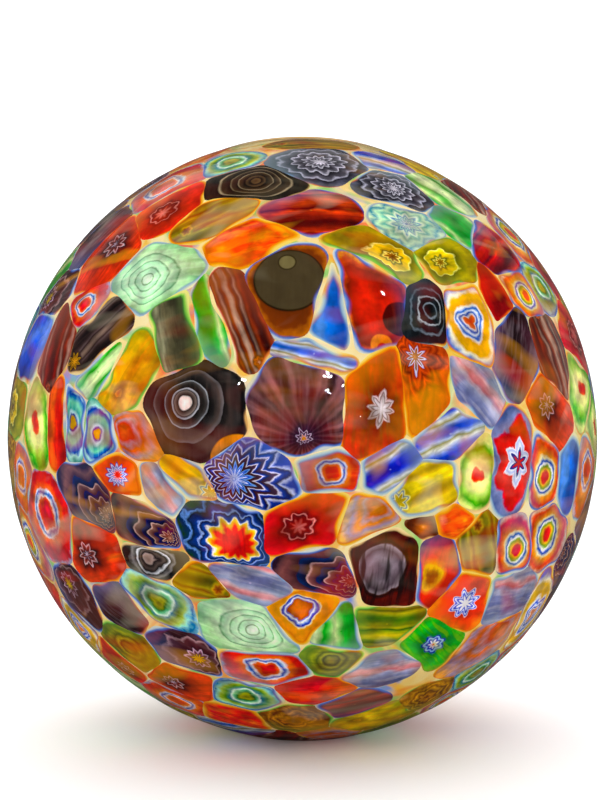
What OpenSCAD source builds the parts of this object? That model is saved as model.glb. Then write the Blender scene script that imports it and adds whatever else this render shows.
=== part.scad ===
// Globular art glass bowl in the millefiori way of making: an ivory gather with slices and short
// rods of patterned cane pressed into it, cased in clear glass, with a fire-polished lip and a
// ground flat base. The origin is the middle of the base, +Z is up and -Y is the front.

/* [Bowl] */
// Widest diameter, at mid height
bowl_d = 200; // [160:1:240]
// How much taller than a true ball the blown body is, in percent
stretch = 2.7; // [1:0.1:4]
// Diameter of the flat ground base
base_d = 44; // [30:1:60]
// Half angle of the mouth, seen from the middle of the bowl
mouth_angle = 27.5; // [24:0.5:35]
// How far the fire-polished lip swells past each face of the wall
lip_swell = 0.4; // [0.2:0.1:1]

/* [Glass layers] */
// Thickness of the clear casing at the widest diameter
casing_t = 2.5; // [2:0.1:4]
// Thickness of the ivory ground where no murrina is pressed in
ground_t = 4; // [3.5:0.1:6]
// Thickness of a murrina at its middle
murrina_t = 2.5; // [2:0.1:3]

/* [Murrine] */
// Width of the ivory seam between two murrine
seam = 0.7; // [0.6:0.1:2]
// Number of steps of the spiral that fills the bowl around the placed murrine
spiral_steps = 430; // [300:10:500]
// Smallest half width of a murrina on the spiral
fill_small = 7.5; // [6:0.5:9]
// Largest half width of a murrina on the spiral
fill_large = 11; // [9:0.5:13]
// Sets the sizes, turns and kinds of the murrine on the spiral
fill_seed = 7; // [1:1:50]

/* [Hidden] */
$fn = 256;

bowl_r = bowl_d / 2;
layer_r = bowl_r - casing_t;
inner_r = layer_r - ground_t;
pocket_floor = layer_r - murrina_t;
// The outside is turned from an arc whose centre lies a little past the axis, so it is taller than wide
half_height = bowl_r * (1 + stretch / 100);
arc_r = (half_height * half_height / bowl_r + bowl_r) / 2;
arc_shift = arc_r - bowl_r;
centre_z = sqrt(pow(arc_r, 2) - pow(base_d / 2 + arc_shift, 2));
mouth_el = 90 - mouth_angle;
mouth_outer = sqrt(pow(arc_r, 2) - pow(arc_shift * sin(mouth_el), 2)) - arc_shift * cos(mouth_el);
lip_mid = (mouth_outer + inner_r) / 2;
lip_r = (mouth_outer - inner_r) / 2 + lip_swell;
far = 2 * bowl_d;
golden_turn = 137.508;
rim_land = 1.2;        // ivory left between the top murrine and the lip
cell_sides = 16;       // sides of a murrina that touches no other
cell_room = 1.3;       // how far a murrina may spread past its own size
shortest_side = 0.5;
smallest_cell = 22;    // a murrina with less room than this, in square mm, is left out
crowding = 0.74;       // how near a spiral murrina may lie to a placed one

// Murrine placed by hand: azimuth from the front, elevation, half length, half width, turn, kind
placed = [
    [-10, 36, 12, 8, -9, "dark_ring_disc"], [-15, 28, 11, 6, 41, "olive_rods"],
    [5, 43, 13, 10, 5, "grey_flowers"], [3, 55, 10, 6, 5, "olive_rods"],
    [-18, 45, 8, 6, -10, "green_eyes"], [-31, 41, 12, 8, 40, "red_eyes"],
    [-27, 32, 11, 7, 42, "red_pink_flowers"], [1, 28, 11, 7, -3, "red_striped_ovals"],
    [20, 36, 12, 8, -23, "grey_flowers"], [19, 26, 9, 7, -24, "teal_stars"],
    [30, 29, 9, 6, -41, "green_strips"], [20, 46, 8, 6, 10, "blue_white_veils"],
    [12, 20, 12, 6, -18, "yellow_daisies"], [24, 20, 9, 8, -46, "yellow_daisies"],
    [-9, 22, 11, 6, 17, "orange_flares"], [-23, 17, 13, 9, 2, "mint_rings"],
    [-37, 24, 13, 9, 60, "orange_dark_flowers"], [-38, 15, 6, 5, 21, "red_eyes"],
    [-1, 13, 11, 9, -90, "khaki_cone"], [4, 10, 11, 5, 89, "cobalt_glass"],
    [10, 13, 14, 8, -87, "red_block"], [19, 10, 9, 5, 83, "black_swirl_bead"],
    [-9, 9, 14, 5, -61, "brown_red_rods"], [-33, 8, 11, 6, 48, "dark_flower_rods"],
    [-26, 1, 12, 6, 50, "yellow_leaves"], [-33, 2, 9, 4, 46, "green_strips"],
    [-14, 9, 13, 4, -70, "green_strips"], [-19, 7, 12, 6, -79, "olive_veils"],
    [-16, -5, 14, 11, -70, "dark_eye_hexagon"], [-25, -8, 9, 5, -40, "coral_veils"],
    [-45, 8, 12, 7, 88, "brown_red_rods"], [-48, -3, 11, 6, 89, "cream_green_bows"],
    [-42, -4, 11, 4, 89, "red_strips"], [-37, -4, 11, 5, -87, "blue_green_cells"],
    [-32, -7, 8, 6, -68, "blue_green_cells"], [-28, -13, 9, 5, -30, "coral_stars"],
    [-22, -15, 8, 5, -45, "lavender_stripes"], [-17, -14, 9, 4, -26, "yellow_ribbed_rods"],
    [-8, -14, 12, 7, -8, "blue_sunburst"], [0, -21, 13, 6, 20, "red_pink_flowers"],
    [-11, -22, 13, 8, -22, "red_navy_rosette"], [-36, -16, 10, 6, -39, "dark_scalloped_rods"],
    [-26, -20, 10, 6, -32, "dark_scalloped_rods"], [-24, -27, 9, 5, -21, "black_white_pebble"],
    [0, -4, 13, 10, -64, "purple_fan"], [2, 3, 11, 4, -5, "blue_white_veils"],
    [10, -4, 14, 7, 71, "red_grey_star"], [18, 0, 12, 7, -84, "orange_star_rod"],
    [4, -13, 8, 5, 0, "red_eyes"], [12, -13, 7, 5, 10, "blue_white_veils"],
    [22, -7, 8, 5, 23, "blue_white_veils"], [26, -1, 9, 6, -58, "lavender_stripes"],
    [18, -16, 10, 6, 13, "yellow_ribbed_rods"], [27, -14, 9, 5, 81, "cream_green_bows"],
    [34, -11, 12, 7, 86, "red_ring_star"], [42, -12, 9, 6, -74, "teardrops"],
    [43, -2, 11, 8, -47, "orange_dark_flowers"], [36, 7, 13, 8, 84, "aubergine_ovals"],
    [26, 10, 11, 7, -87, "blue_loops"], [44, 7, 12, 8, -66, "brown_red_rods"],
    [33, 15, 8, 5, -75, "red_strips"], [40, 17, 8, 7, -41, "teardrops"],
    [36, 25, 10, 8, -58, "red_striped_ovals"], [48, 20, 8, 6, 24, "green_eyes"],
    [14, -27, 12, 9, -72, "brown_window"], [19, -21, 5, 3, 0, "amber_bead"],
    [23, -28, 9, 6, -60, "red_horseshoe"], [30, -33, 9, 8, -40, "red_blue_flower"],
    [2, -28, 10, 6, -15, "dark_scalloped_rods"], [-8, -30, 9, 5, -18, "lavender_stripes"],
    [0, -35, 9, 7, 0, "orange_square_eye"], [-11, -37, 14, 8, -26, "mint_rings"],
    [15, -37, 10, 6, 2, "green_stripes"], [7, -38, 7, 6, -58, "green_strips"],
    [27, -41, 9, 7, -40, "green_blue_flowers"], [-26, -33, 11, 7, -24, "green_eyes"],
    [-18, -30, 9, 4, -23, "olive_rods"], [-36, -35, 9, 7, -70, "aubergine_ovals"],
    [-27, -43, 11, 7, -33, "aubergine_flowers"], [-8, -46, 11, 6, -8, "red_eyes"],
    [3, -52, 9, 6, -7, "red_strips"], [6, -44, 7, 5, -2, "olive_eyes"],
    [-16, -54, 10, 7, -1, "green_eyes"], [-3, -61, 11, 8, 2, "ochre_crackle"],
    [14, -57, 9, 7, -20, "red_striped_ovals"], [18, -46, 9, 5, 16, "lavender_stripes"],
    [-38, -25, 9, 8, -43, "orange_dark_flowers"], [30, -24, 8, 6, -59, "olive_rods"],
    [38, -24, 8, 6, -48, "teardrops"], [47, -22, 10, 7, -34, "teardrops"],
    [43, -33, 10, 7, -17, "lavender_stripes"], [50, -12, 9, 6, -78, "cobalt_glass"],
    [24, -20, 7, 4, 8, "orange_flares"], [10, -20, 8, 5, 14, "coral_veils"],
    [-49, -33, 9, 7, -85, "aubergine_flowers"]
];

// Kinds that the spiral draws from: a kind named twice turns up twice as often
fill_kinds = [
    "mint_rings", "yellow_daisies", "yellow_leaves", "yellow_ribbed_rods", "olive_rods", "olive_eyes",
    "olive_veils", "ochre_crackle", "green_strips", "green_eyes", "green_stripes",
    "green_blue_flowers", "teal_stars", "blue_white_veils", "blue_loops", "blue_green_cells",
    "cobalt_glass", "grey_flowers", "lavender_stripes", "aubergine_ovals", "aubergine_flowers",
    "dark_scalloped_rods", "dark_flower_rods", "brown_red_rods", "orange_flares",
    "orange_dark_flowers", "coral_stars", "coral_veils", "red_eyes", "red_pink_flowers",
    "red_striped_ovals", "red_strips", "cream_green_bows", "teardrops", "aubergine_ovals",
    "aubergine_flowers", "brown_red_rods", "orange_flares", "orange_dark_flowers", "red_eyes",
    "red_striped_ovals", "yellow_daisies", "dark_scalloped_rods", "teardrops", "red_pink_flowers"
];

function unit(v) = v / norm(v);
function outward(az, el) = [sin(az) * cos(el), -cos(az) * cos(el), sin(el)];
function east(az) = [cos(az), sin(az), 0];
function north(az, el) = [-sin(az) * sin(el), cos(az) * sin(el), cos(el)];
function share(k, salt) = rands(0, 1, 1, fill_seed * 1000 + k * 7 + salt * 5003)[0];
function reach(row) = sqrt(row[2] * row[3]);
function arc_between(a, b) =
    2 * layer_r * asin(norm(outward(a[0], a[1]) - outward(b[0], b[1])) / 2) * PI / 180;
function is_clear(row) =
    min([for (other = placed) arc_between(row, other) - crowding * (reach(row) + reach(other))]) > 0;

// A murrina on step k of the spiral: golden turns spread the steps evenly over the ball
function spiral_row(k) =
    let (el = asin(1 - (2 * k + 1) / spiral_steps),
         half_w = fill_small + (fill_large - fill_small) * share(k, 1),
         half_l = half_w * (1 + 0.7 * pow(share(k, 2), 2)),
         kind = fill_kinds[floor(share(k, 3) * len(fill_kinds))])
    [k * golden_turn % 360, el, half_l, half_w, 180 * share(k, 4), kind];
spiral = [
    for (k = [0 : spiral_steps - 1])
        let (row = spiral_row(k))
            if (row[1] < mouth_el - 4 && is_clear(row)) row
];
rows = concat(placed, spiral);

// Each murrina's own axes: outward, along its length and across it
axes = [
    for (row = rows)
        let (e = east(row[0]), n = north(row[0], row[1]), c = cos(row[4]), s = sin(row[4]))
            [outward(row[0], row[1]), e * c + n * s, n * c - e * s]
];

// Half size of an ellipse in a direction, and the normal where it meets that direction
function half_size(row, d) = norm(d) / norm([d.x / row[2], d.y / row[3]]);
function face_normal(row, ax, d) =
    unit(ax[1] * d.x / pow(row[2], 2) + ax[2] * d.y / pow(row[3], 2));

// Two neighbours share out the room between them in proportion to their half sizes. The seam's
// plane goes through the ball's middle, so it is a straight line on either murrina's own face:
// that line is [x factor, y factor, constant], and the murrina lies where its sum is negative.
function seam_line(i, j) =
    let (a = axes[i], b = axes[j], step = b[0] - a[0],
         di = [step * a[1], step * a[2]], dj = -[step * b[1], step * b[2]],
         ri = half_size(rows[i], di), rj = half_size(rows[j], dj),
         meet = unit(a[0] + step * ri / (ri + rj)),
         lean = face_normal(rows[i], a, di) - face_normal(rows[j], b, dj),
         n = unit(lean - meet * (lean * meet)))
    [n * a[1], n * a[2], n * a[0] + seam / 2 / layer_r];
// The line that keeps a murrina below the lip
function lip_line(i) =
    [sin(rows[i][4]), cos(rows[i][4]),
     -tan(mouth_el - rows[i][1]) + rim_land / layer_r];
function seam_lines(i) = concat(rows[i][1] > 0 ? [lip_line(i)] : [], [
    for (j = [0 : len(rows) - 1])
        if (j != i && norm(axes[i][0] - axes[j][0]) * layer_r < rows[i][2] + rows[j][2] + 10)
            seam_line(i, j)
]);

function side(p, line) = p.x * line[0] + p.y * line[1] + line[2];
function clip(shape, line) = [
    for (k = [0 : 1 : len(shape) - 1])
        let (p = shape[k], q = shape[(k + 1) % len(shape)], sp = side(p, line), sq = side(q, line))
            each [if (sp <= 0) p, if (sp * sq < 0) p + (q - p) * sp / (sp - sq)]
];
function clip_all(shape, lines, k = 0) =
    k == len(lines) ? shape : clip_all(clip(shape, lines[k]), lines, k + 1);
function without_short_sides(shape) = [
    for (k = [0 : 1 : len(shape) - 1])
        if (norm(shape[k] - shape[(k + 1) % len(shape)]) > shortest_side) shape[k]
];
function area(shape) = len(shape) < 3 ? 0 : 0.5 * abs([
    for (k = [0 : len(shape) - 1]) cross(shape[k], shape[(k + 1) % len(shape)])
] * [for (k = shape) 1]);

// A murrina's outline on its own face: its ellipse, cut back by each neighbour's seam
function outline(i) =
    let (room = cell_room / layer_r,
         start = [for (k = [0 : cell_sides - 1])
             let (t = (k + 0.5) * 360 / cell_sides)
                 [rows[i][2] * cos(t), rows[i][3] * sin(t)] * room],
         cut = clip_all(start, seam_lines(i)))
    without_short_sides([for (p = cut) p / sqrt(1 + p * p) * layer_r]);
outlines = [for (i = [0 : len(rows) - 1]) outline(i)];
murrine = [for (i = [0 : len(rows) - 1]) if (area(outlines[i]) > smallest_cell) i];

// Sections through the glass: x is the distance from the axis, y the height from the ball's middle
module right_half() {
    intersection() {
        children();
        translate([0, -far]) square([far, 2 * far]);
    }
}
module mouth_cone() {
    polygon([[0, 0], [far * cos(mouth_el), far * sin(mouth_el)], [0, far]]);
}
module ground_section() {
    right_half() difference() {
        circle(layer_r);
        circle(inner_r);
        mouth_cone();
    }
}
module casing_section() {
    right_half() difference() {
        union() {
            difference() {
                translate([-arc_shift, 0]) circle(arc_r);
                mouth_cone();
            }
            rotate(mouth_el) translate([lip_mid, 0]) circle(lip_r);
        }
        difference() {
            circle(layer_r);
            difference() {
                rotate(mouth_el) translate([lip_mid, 0]) circle(lip_r);
                ground_section();
            }
        }
        translate([0, -centre_z - far]) square([far, far]);
    }
}

// A prism on murrina i's outline, from the floor of its pocket to past the ground's face
module prism(i) {
    rotate([90 - rows[i][1], 0, rows[i][0]]) rotate(rows[i][4])
        translate([0, 0, pocket_floor])
            linear_extrude(murrina_t + 1) polygon(outlines[i]);
}
module murrina(i) {
    translate([0, 0, centre_z]) intersection() {
        rotate([-rows[i][1], 0, rows[i][0]]) sphere(layer_r);
        prism(i);
    }
}
module murrine_of(kind) {
    for (i = murrine)
        if (rows[i][5] == kind) murrina(i);
}

module clear_casing() {
    color("white", 0.25) translate([0, 0, centre_z]) rotate_extrude() casing_section();
}
module ivory_ground() {
    color("#FBE6B0") translate([0, 0, centre_z]) difference() {
        rotate_extrude() ground_section();
        for (i = murrine) prism(i);
    }
}
module dark_eye_hexagon() { color("#2C2426") murrine_of("dark_eye_hexagon"); }
module purple_fan() { color("#5A3538") murrine_of("purple_fan"); }
module khaki_cone() { color("#5B4C2C") murrine_of("khaki_cone"); }
module red_grey_star() { color("#B5502A") murrine_of("red_grey_star"); }
module orange_star_rod() { color("#A8452C") murrine_of("orange_star_rod"); }
module red_block() { color("#B3161C") murrine_of("red_block"); }
module black_swirl_bead() { color("#1C2326") murrine_of("black_swirl_bead"); }
module brown_window() { color("#4B1D18") murrine_of("brown_window"); }
module blue_sunburst() { color("#274C9A") murrine_of("blue_sunburst"); }
module red_navy_rosette() { color("#D64A2C") murrine_of("red_navy_rosette"); }
module red_ring_star() { color("#C8202C") murrine_of("red_ring_star"); }
module dark_ring_disc() { color("#3A2E24") murrine_of("dark_ring_disc"); }
module orange_square_eye() { color("#E07A2A") murrine_of("orange_square_eye"); }
module red_horseshoe() { color("#D43A1E") murrine_of("red_horseshoe"); }
module red_blue_flower() { color("#D8382A") murrine_of("red_blue_flower"); }
module black_white_pebble() { color("#3C3836") murrine_of("black_white_pebble"); }
module amber_bead() { color("#A65A1C") murrine_of("amber_bead"); }
module mint_rings() { color("#A9DFB5") murrine_of("mint_rings"); }
module yellow_daisies() { color("#C9A90C") murrine_of("yellow_daisies"); }
module yellow_leaves() { color("#E8B100") murrine_of("yellow_leaves"); }
module yellow_ribbed_rods() { color("#D8B420") murrine_of("yellow_ribbed_rods"); }
module olive_rods() { color("#8E8420") murrine_of("olive_rods"); }
module olive_eyes() { color("#8A8A18") murrine_of("olive_eyes"); }
module olive_veils() { color("#77704A") murrine_of("olive_veils"); }
module ochre_crackle() { color("#B07A2C") murrine_of("ochre_crackle"); }
module green_strips() { color("#5BC35B") murrine_of("green_strips"); }
module green_eyes() { color("#7BB88A") murrine_of("green_eyes"); }
module green_stripes() { color("#7E9A2A") murrine_of("green_stripes"); }
module green_blue_flowers() { color("#58A848") murrine_of("green_blue_flowers"); }
module teal_stars() { color("#7EB8B0") murrine_of("teal_stars"); }
module blue_white_veils() { color("#A8B8D0") murrine_of("blue_white_veils"); }
module blue_loops() { color("#5C7CC8") murrine_of("blue_loops"); }
module blue_green_cells() { color("#5A9AA0") murrine_of("blue_green_cells"); }
module cobalt_glass() { color("#1F3FA8") murrine_of("cobalt_glass"); }
module grey_flowers() { color("#7A7A7A") murrine_of("grey_flowers"); }
module lavender_stripes() { color("#8C84B0") murrine_of("lavender_stripes"); }
module aubergine_ovals() { color("#4A2F30") murrine_of("aubergine_ovals"); }
module aubergine_flowers() { color("#563636") murrine_of("aubergine_flowers"); }
module dark_scalloped_rods() { color("#4E2C34") murrine_of("dark_scalloped_rods"); }
module dark_flower_rods() { color("#3E3030") murrine_of("dark_flower_rods"); }
module brown_red_rods() { color("#843828") murrine_of("brown_red_rods"); }
module orange_flares() { color("#F26A1B") murrine_of("orange_flares"); }
module orange_dark_flowers() { color("#D24C20") murrine_of("orange_dark_flowers"); }
module coral_stars() { color("#F26B4B") murrine_of("coral_stars"); }
module coral_veils() { color("#D88A60") murrine_of("coral_veils"); }
module red_eyes() { color("#D2402A") murrine_of("red_eyes"); }
module red_pink_flowers() { color("#D8301E") murrine_of("red_pink_flowers"); }
module red_striped_ovals() { color("#A83028") murrine_of("red_striped_ovals"); }
module red_strips() { color("#D2232A") murrine_of("red_strips"); }
module cream_green_bows() { color("#C8D898") murrine_of("cream_green_bows"); }
module teardrops() { color("#E0902A") murrine_of("teardrops"); }

clear_casing();
ivory_ground();
dark_eye_hexagon();
purple_fan();
khaki_cone();
red_grey_star();
orange_star_rod();
red_block();
black_swirl_bead();
brown_window();
blue_sunburst();
red_navy_rosette();
red_ring_star();
dark_ring_disc();
orange_square_eye();
red_horseshoe();
red_blue_flower();
black_white_pebble();
amber_bead();
mint_rings();
yellow_daisies();
yellow_leaves();
yellow_ribbed_rods();
olive_rods();
olive_eyes();
olive_veils();
ochre_crackle();
green_strips();
green_eyes();
green_stripes();
green_blue_flowers();
teal_stars();
blue_white_veils();
blue_loops();
blue_green_cells();
cobalt_glass();
grey_flowers();
lavender_stripes();
aubergine_ovals();
aubergine_flowers();
dark_scalloped_rods();
dark_flower_rods();
brown_red_rods();
orange_flares();
orange_dark_flowers();
coral_stars();
coral_veils();
red_eyes();
red_pink_flowers();
red_striped_ovals();
red_strips();
cream_green_bows();
teardrops();
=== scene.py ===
import math
import random

import bmesh
import bpy
import numpy as np
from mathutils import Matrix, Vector, geometry, kdtree, noise


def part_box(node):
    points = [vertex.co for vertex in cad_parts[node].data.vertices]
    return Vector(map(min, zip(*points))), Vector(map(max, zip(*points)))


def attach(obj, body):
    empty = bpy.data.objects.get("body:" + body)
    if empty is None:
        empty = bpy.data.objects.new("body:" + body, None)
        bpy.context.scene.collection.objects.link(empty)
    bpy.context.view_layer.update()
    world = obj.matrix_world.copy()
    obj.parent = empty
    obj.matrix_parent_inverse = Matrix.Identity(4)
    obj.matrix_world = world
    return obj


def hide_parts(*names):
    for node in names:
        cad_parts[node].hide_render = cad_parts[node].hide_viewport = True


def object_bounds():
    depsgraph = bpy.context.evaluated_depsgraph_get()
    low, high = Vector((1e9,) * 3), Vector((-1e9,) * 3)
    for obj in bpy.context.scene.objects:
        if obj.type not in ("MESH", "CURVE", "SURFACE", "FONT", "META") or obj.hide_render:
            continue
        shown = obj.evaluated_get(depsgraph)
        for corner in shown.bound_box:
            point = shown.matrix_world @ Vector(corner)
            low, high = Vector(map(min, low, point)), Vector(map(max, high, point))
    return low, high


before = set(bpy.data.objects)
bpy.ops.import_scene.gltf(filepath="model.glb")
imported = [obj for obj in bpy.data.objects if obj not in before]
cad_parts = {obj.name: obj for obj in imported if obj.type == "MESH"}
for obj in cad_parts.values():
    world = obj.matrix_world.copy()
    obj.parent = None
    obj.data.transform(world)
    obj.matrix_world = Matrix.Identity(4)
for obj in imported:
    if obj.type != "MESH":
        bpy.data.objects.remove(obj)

# Globular millefiori bowl: slices and rods of patterned cane pressed into ivory glass and cased in
# clear. Every slice's place and outline is read from its CAD node. The patterns are drawn here.

mm = 0.001
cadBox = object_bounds()


def linear(hexColour):
    # sRGB hex to linear, with alpha 1
    parts = [int(hexColour[i:i + 2], 16) / 255 for i in (1, 3, 5)]
    return tuple(c / 12.92 if c <= 0.04045 else ((c + 0.055) / 1.055) ** 2.4 for c in parts) + (1,)


def add(tree, kind, settings=None, links=None):
    # one node with its settings (attribute names, or input names and numbers) and its links
    item = tree.nodes.new("ShaderNode" + kind)
    for key, value in (settings or {}).items():
        if key == "stops":
            points = item.color_ramp.elements
            points.remove(points[1])
            for k, (place, hexColour) in enumerate(value):
                point = points[0] if k == 0 else points.new(place)
                point.position = place
                point.color = linear(hexColour)
        elif isinstance(key, int) or key in item.inputs:
            item.inputs[key].default_value = value
        else:
            setattr(item, key, value)
    for key, source in (links or {}).items():
        tree.links.new(source, item.inputs[key])
    return item


def newMaterial(name):
    material = bpy.data.materials.new(name)
    material.use_nodes = True
    material.node_tree.nodes.clear()
    return material, material.node_tree


# sizes from the frame
groundLow, groundHigh = (Vector(v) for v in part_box("ivory_ground"))
layerRadius = (groundHigh.x - groundLow.x) / 2
ballCentre = Vector((0, 0, groundLow.z + layerRadius))
low, high = (Vector(v) for v in cadBox)
bowlRadius = (high.x - low.x) / 2
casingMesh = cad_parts["clear_casing"].data
baseRadius = max(v.co.xy.length for v in casingMesh.vertices if v.co.z < 0.01 * mm)
# the outside is an arc whose centre lies a little past the axis: three known points give the shift
arcShift = (baseRadius ** 2 + ballCentre.z ** 2 - bowlRadius ** 2) / (2 * (bowlRadius - baseRadius))
arcRadius = bowlRadius + arcShift
groundTop = max((v.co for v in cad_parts["ivory_ground"].data.vertices), key=lambda p: p.z)
mouthAngle = math.atan2((groundTop - ballCentre).z, groundTop.xy.length)
innerRadius = min((v.co - ballCentre).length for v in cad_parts["ivory_ground"].data.vertices)
print("bowl read from the frame: layer", round(layerRadius / mm, 2), "inside", round(innerRadius / mm, 2),
      "mouth elevation", round(math.degrees(mouthAngle), 1))


def outerReach(elevation):
    # distance from the ball's middle to the outside of the bowl, at an elevation
    side = arcShift * math.sin(elevation)
    return math.sqrt(arcRadius ** 2 - side ** 2) - arcShift * math.cos(elevation)


def sliceOutlines(nodeName):
    # each slice's face, as (way out, way east, way north, rim points in mm to the east and north)
    mesh = bmesh.new()
    mesh.from_mesh(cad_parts[nodeName].data)
    bmesh.ops.remove_doubles(mesh, verts=mesh.verts, dist=0.002 * mm)
    left = set(mesh.verts)
    found = []
    while left:
        queue = [left.pop()]
        island = list(queue)
        while queue:
            for edge in queue.pop().link_edges:
                for vert in edge.verts:
                    if vert in left:
                        left.remove(vert)
                        queue.append(vert)
                        island.append(vert)
        spokes = [v.co - ballCentre for v in island]
        face = [s for s in spokes if s.length > layerRadius - 0.03 * mm]
        out = sum(face, Vector()).normalized()
        east = Vector((-out.y, out.x, 0)).normalized()
        north = out.cross(east)
        flat = [Vector((s.dot(east), s.dot(north))) / mm for s in face]
        rim = [flat[i] for i in geometry.convex_hull_2d(flat)]
        found.append((out, east, north, rim))
    mesh.free()
    found.sort(key=lambda f: (round(f[0].z, 3), round(f[0].x, 3)))
    return found


def roundedRim(rim, points=72, soften=2.4):
    # the rim as even steps, with its corners softened over a length in mm, as heat does
    closed = np.array([tuple(p) for p in rim] + [tuple(rim[0])])
    steps = np.linalg.norm(np.diff(closed, axis=0), axis=1)
    run = np.concatenate([[0], np.cumsum(steps)])
    at = np.linspace(0, run[-1], points, endpoint=False)
    even = np.stack([np.interp(at, run, closed[:, i]) for i in (0, 1)], axis=1)
    reach = max(1, int(soften / (run[-1] / points)))
    weights = np.hanning(2 * reach + 3)[1:-1]
    weights /= weights.sum()
    return sum(np.roll(even, k - reach, axis=0) * w for k, w in enumerate(weights))


def ownAxes(rim):
    # middle, long axis and half sizes of an outline
    middle = rim.mean(axis=0)
    along = np.linalg.eigh(np.cov((rim - middle).T))[1][:, 1]
    if along[1] < -0.35 or (abs(along[1]) <= 0.35 and along[0] < 0):
        along = -along
    across = np.array([-along[1], along[0]])
    place = rim - middle
    return middle, along, across, abs(place @ along).max(), abs(place @ across).max()


def spreadRims():
    # hot slices spread until only a thin ivory line is left between them: every rim moves out by
    # half the gap to its nearest neighbour, but never over the lip
    outlines = {name: sliceOutlines(name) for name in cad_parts
                if name not in ("clear_casing", "ivory_ground")}
    rims = {}
    spots = []
    for name in outlines:
        for place, (out, east, north, rim) in enumerate(outlines[name]):
            rim = roundedRim(rim)
            rims[name, place] = rim
            for x, y in rim:
                up = math.sqrt((layerRadius / mm) ** 2 - x * x - y * y)
                spots.append(((name, place), east * float(x) + north * float(y) + out * up))
    tree = kdtree.KDTree(len(spots))
    for i, (_, at) in enumerate(spots):
        tree.insert(at, i)
    tree.balance()
    grown = {name: [] for name in outlines}
    turn = 0
    for name in outlines:
        for place, (out, east, north, _) in enumerate(outlines[name]):
            rim = rims[name, place]
            growth, room = [], []
            for _ in rim:
                at = spots[turn][1]
                seam = spread["seam"] + spread["vary"] * noise.noise(at * 0.09)
                gap = spread["most"] * 2 + seam
                for _, i, far in tree.find_range(at, gap):
                    if spots[i][0] != (name, place):
                        gap = min(gap, far)
                lipGap = (mouthAngle - math.asin(at.z / at.length)) * layerRadius / mm
                growth.append(max(-0.3, min((gap - seam) / 2, lipGap - 1.0)))
                room.append(lipGap - 1.0 - growth[-1])
                turn += 1
            growth = sum(np.roll(np.array(growth), k) for k in range(-2, 3)) / 5
            ahead, behind = np.roll(rim, -1, axis=0), np.roll(rim, 1, axis=0)
            tangent = ahead - behind
            normal = np.stack([tangent[:, 1], -tangent[:, 0]], 1) / np.linalg.norm(tangent, axis=1)[:, None]
            if ((rim - rim.mean(axis=0)) * normal).sum() < 0:
                normal = -normal
            aside = Vector((0.7 * place, 1.3 * place, 0.0))
            waves = np.array([noise.noise((east * x + north * y + out * layerRadius / mm) * 0.13 + aside)
                              for x, y in rim])          # one wave takes some 8 mm
            rim = rim + normal * (growth + np.minimum(spread["uneven"] * waves, room))[:, None]
            rim = (np.roll(rim, 1, axis=0) + rim * 2 + np.roll(rim, -1, axis=0)) / 4
            grown[name].append((out, east, north, rim))
    return grown


def rimDistance(points, rim):
    # distance from each point to the rim, in mm
    a, b = rim, np.roll(rim, -1, axis=0)
    edge = b - a
    rel = points[:, None, :] - a[None]
    t = np.clip((rel * edge).sum(-1) / np.maximum((edge ** 2).sum(-1), 1e-9), 0, 1)
    return np.linalg.norm(rel - t[..., None] * edge, axis=-1).min(axis=1)


# steps from the eye of a slice to its rim, closer together at the rim
sliceRings = [0.06, 0.14, 0.24, 0.35, 0.46, 0.57, 0.67, 0.76, 0.84, 0.90, 0.95, 0.98, 1.0]
spread = {
    "seam": -0.45,        # ivory line left between two slices, mm: below 0 one laps over the other
    "vary": 1.7,          # the line widens and closes up by this much, mm
    "most": 2.2,          # the furthest that a rim spreads, mm, before its waves
    "uneven": 0.9,        # slow waves in a rim, mm, out and in
}
sliceShape = {
    "edgeDrop": 0.26,     # how far the rounded edge of a slice falls, mm
    "edgeRound": 1.0,     # over this width, mm
    "sunk": 0.30,         # slices were pressed up to this much deeper, mm
    "depth": 2.2,         # thickness, mm
}
spreadSlices = spreadRims()
slicePlaces = []          # (direction, half size) of every slice, for the clear surface's relief


def placeGlass(nodeName, mesh):
    # a finished piece of glass takes its CAD node's place
    piece = bpy.data.objects.new(nodeName + "_glass", mesh)
    bpy.context.collection.objects.link(piece)
    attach(piece, "root")
    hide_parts(nodeName)


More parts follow.
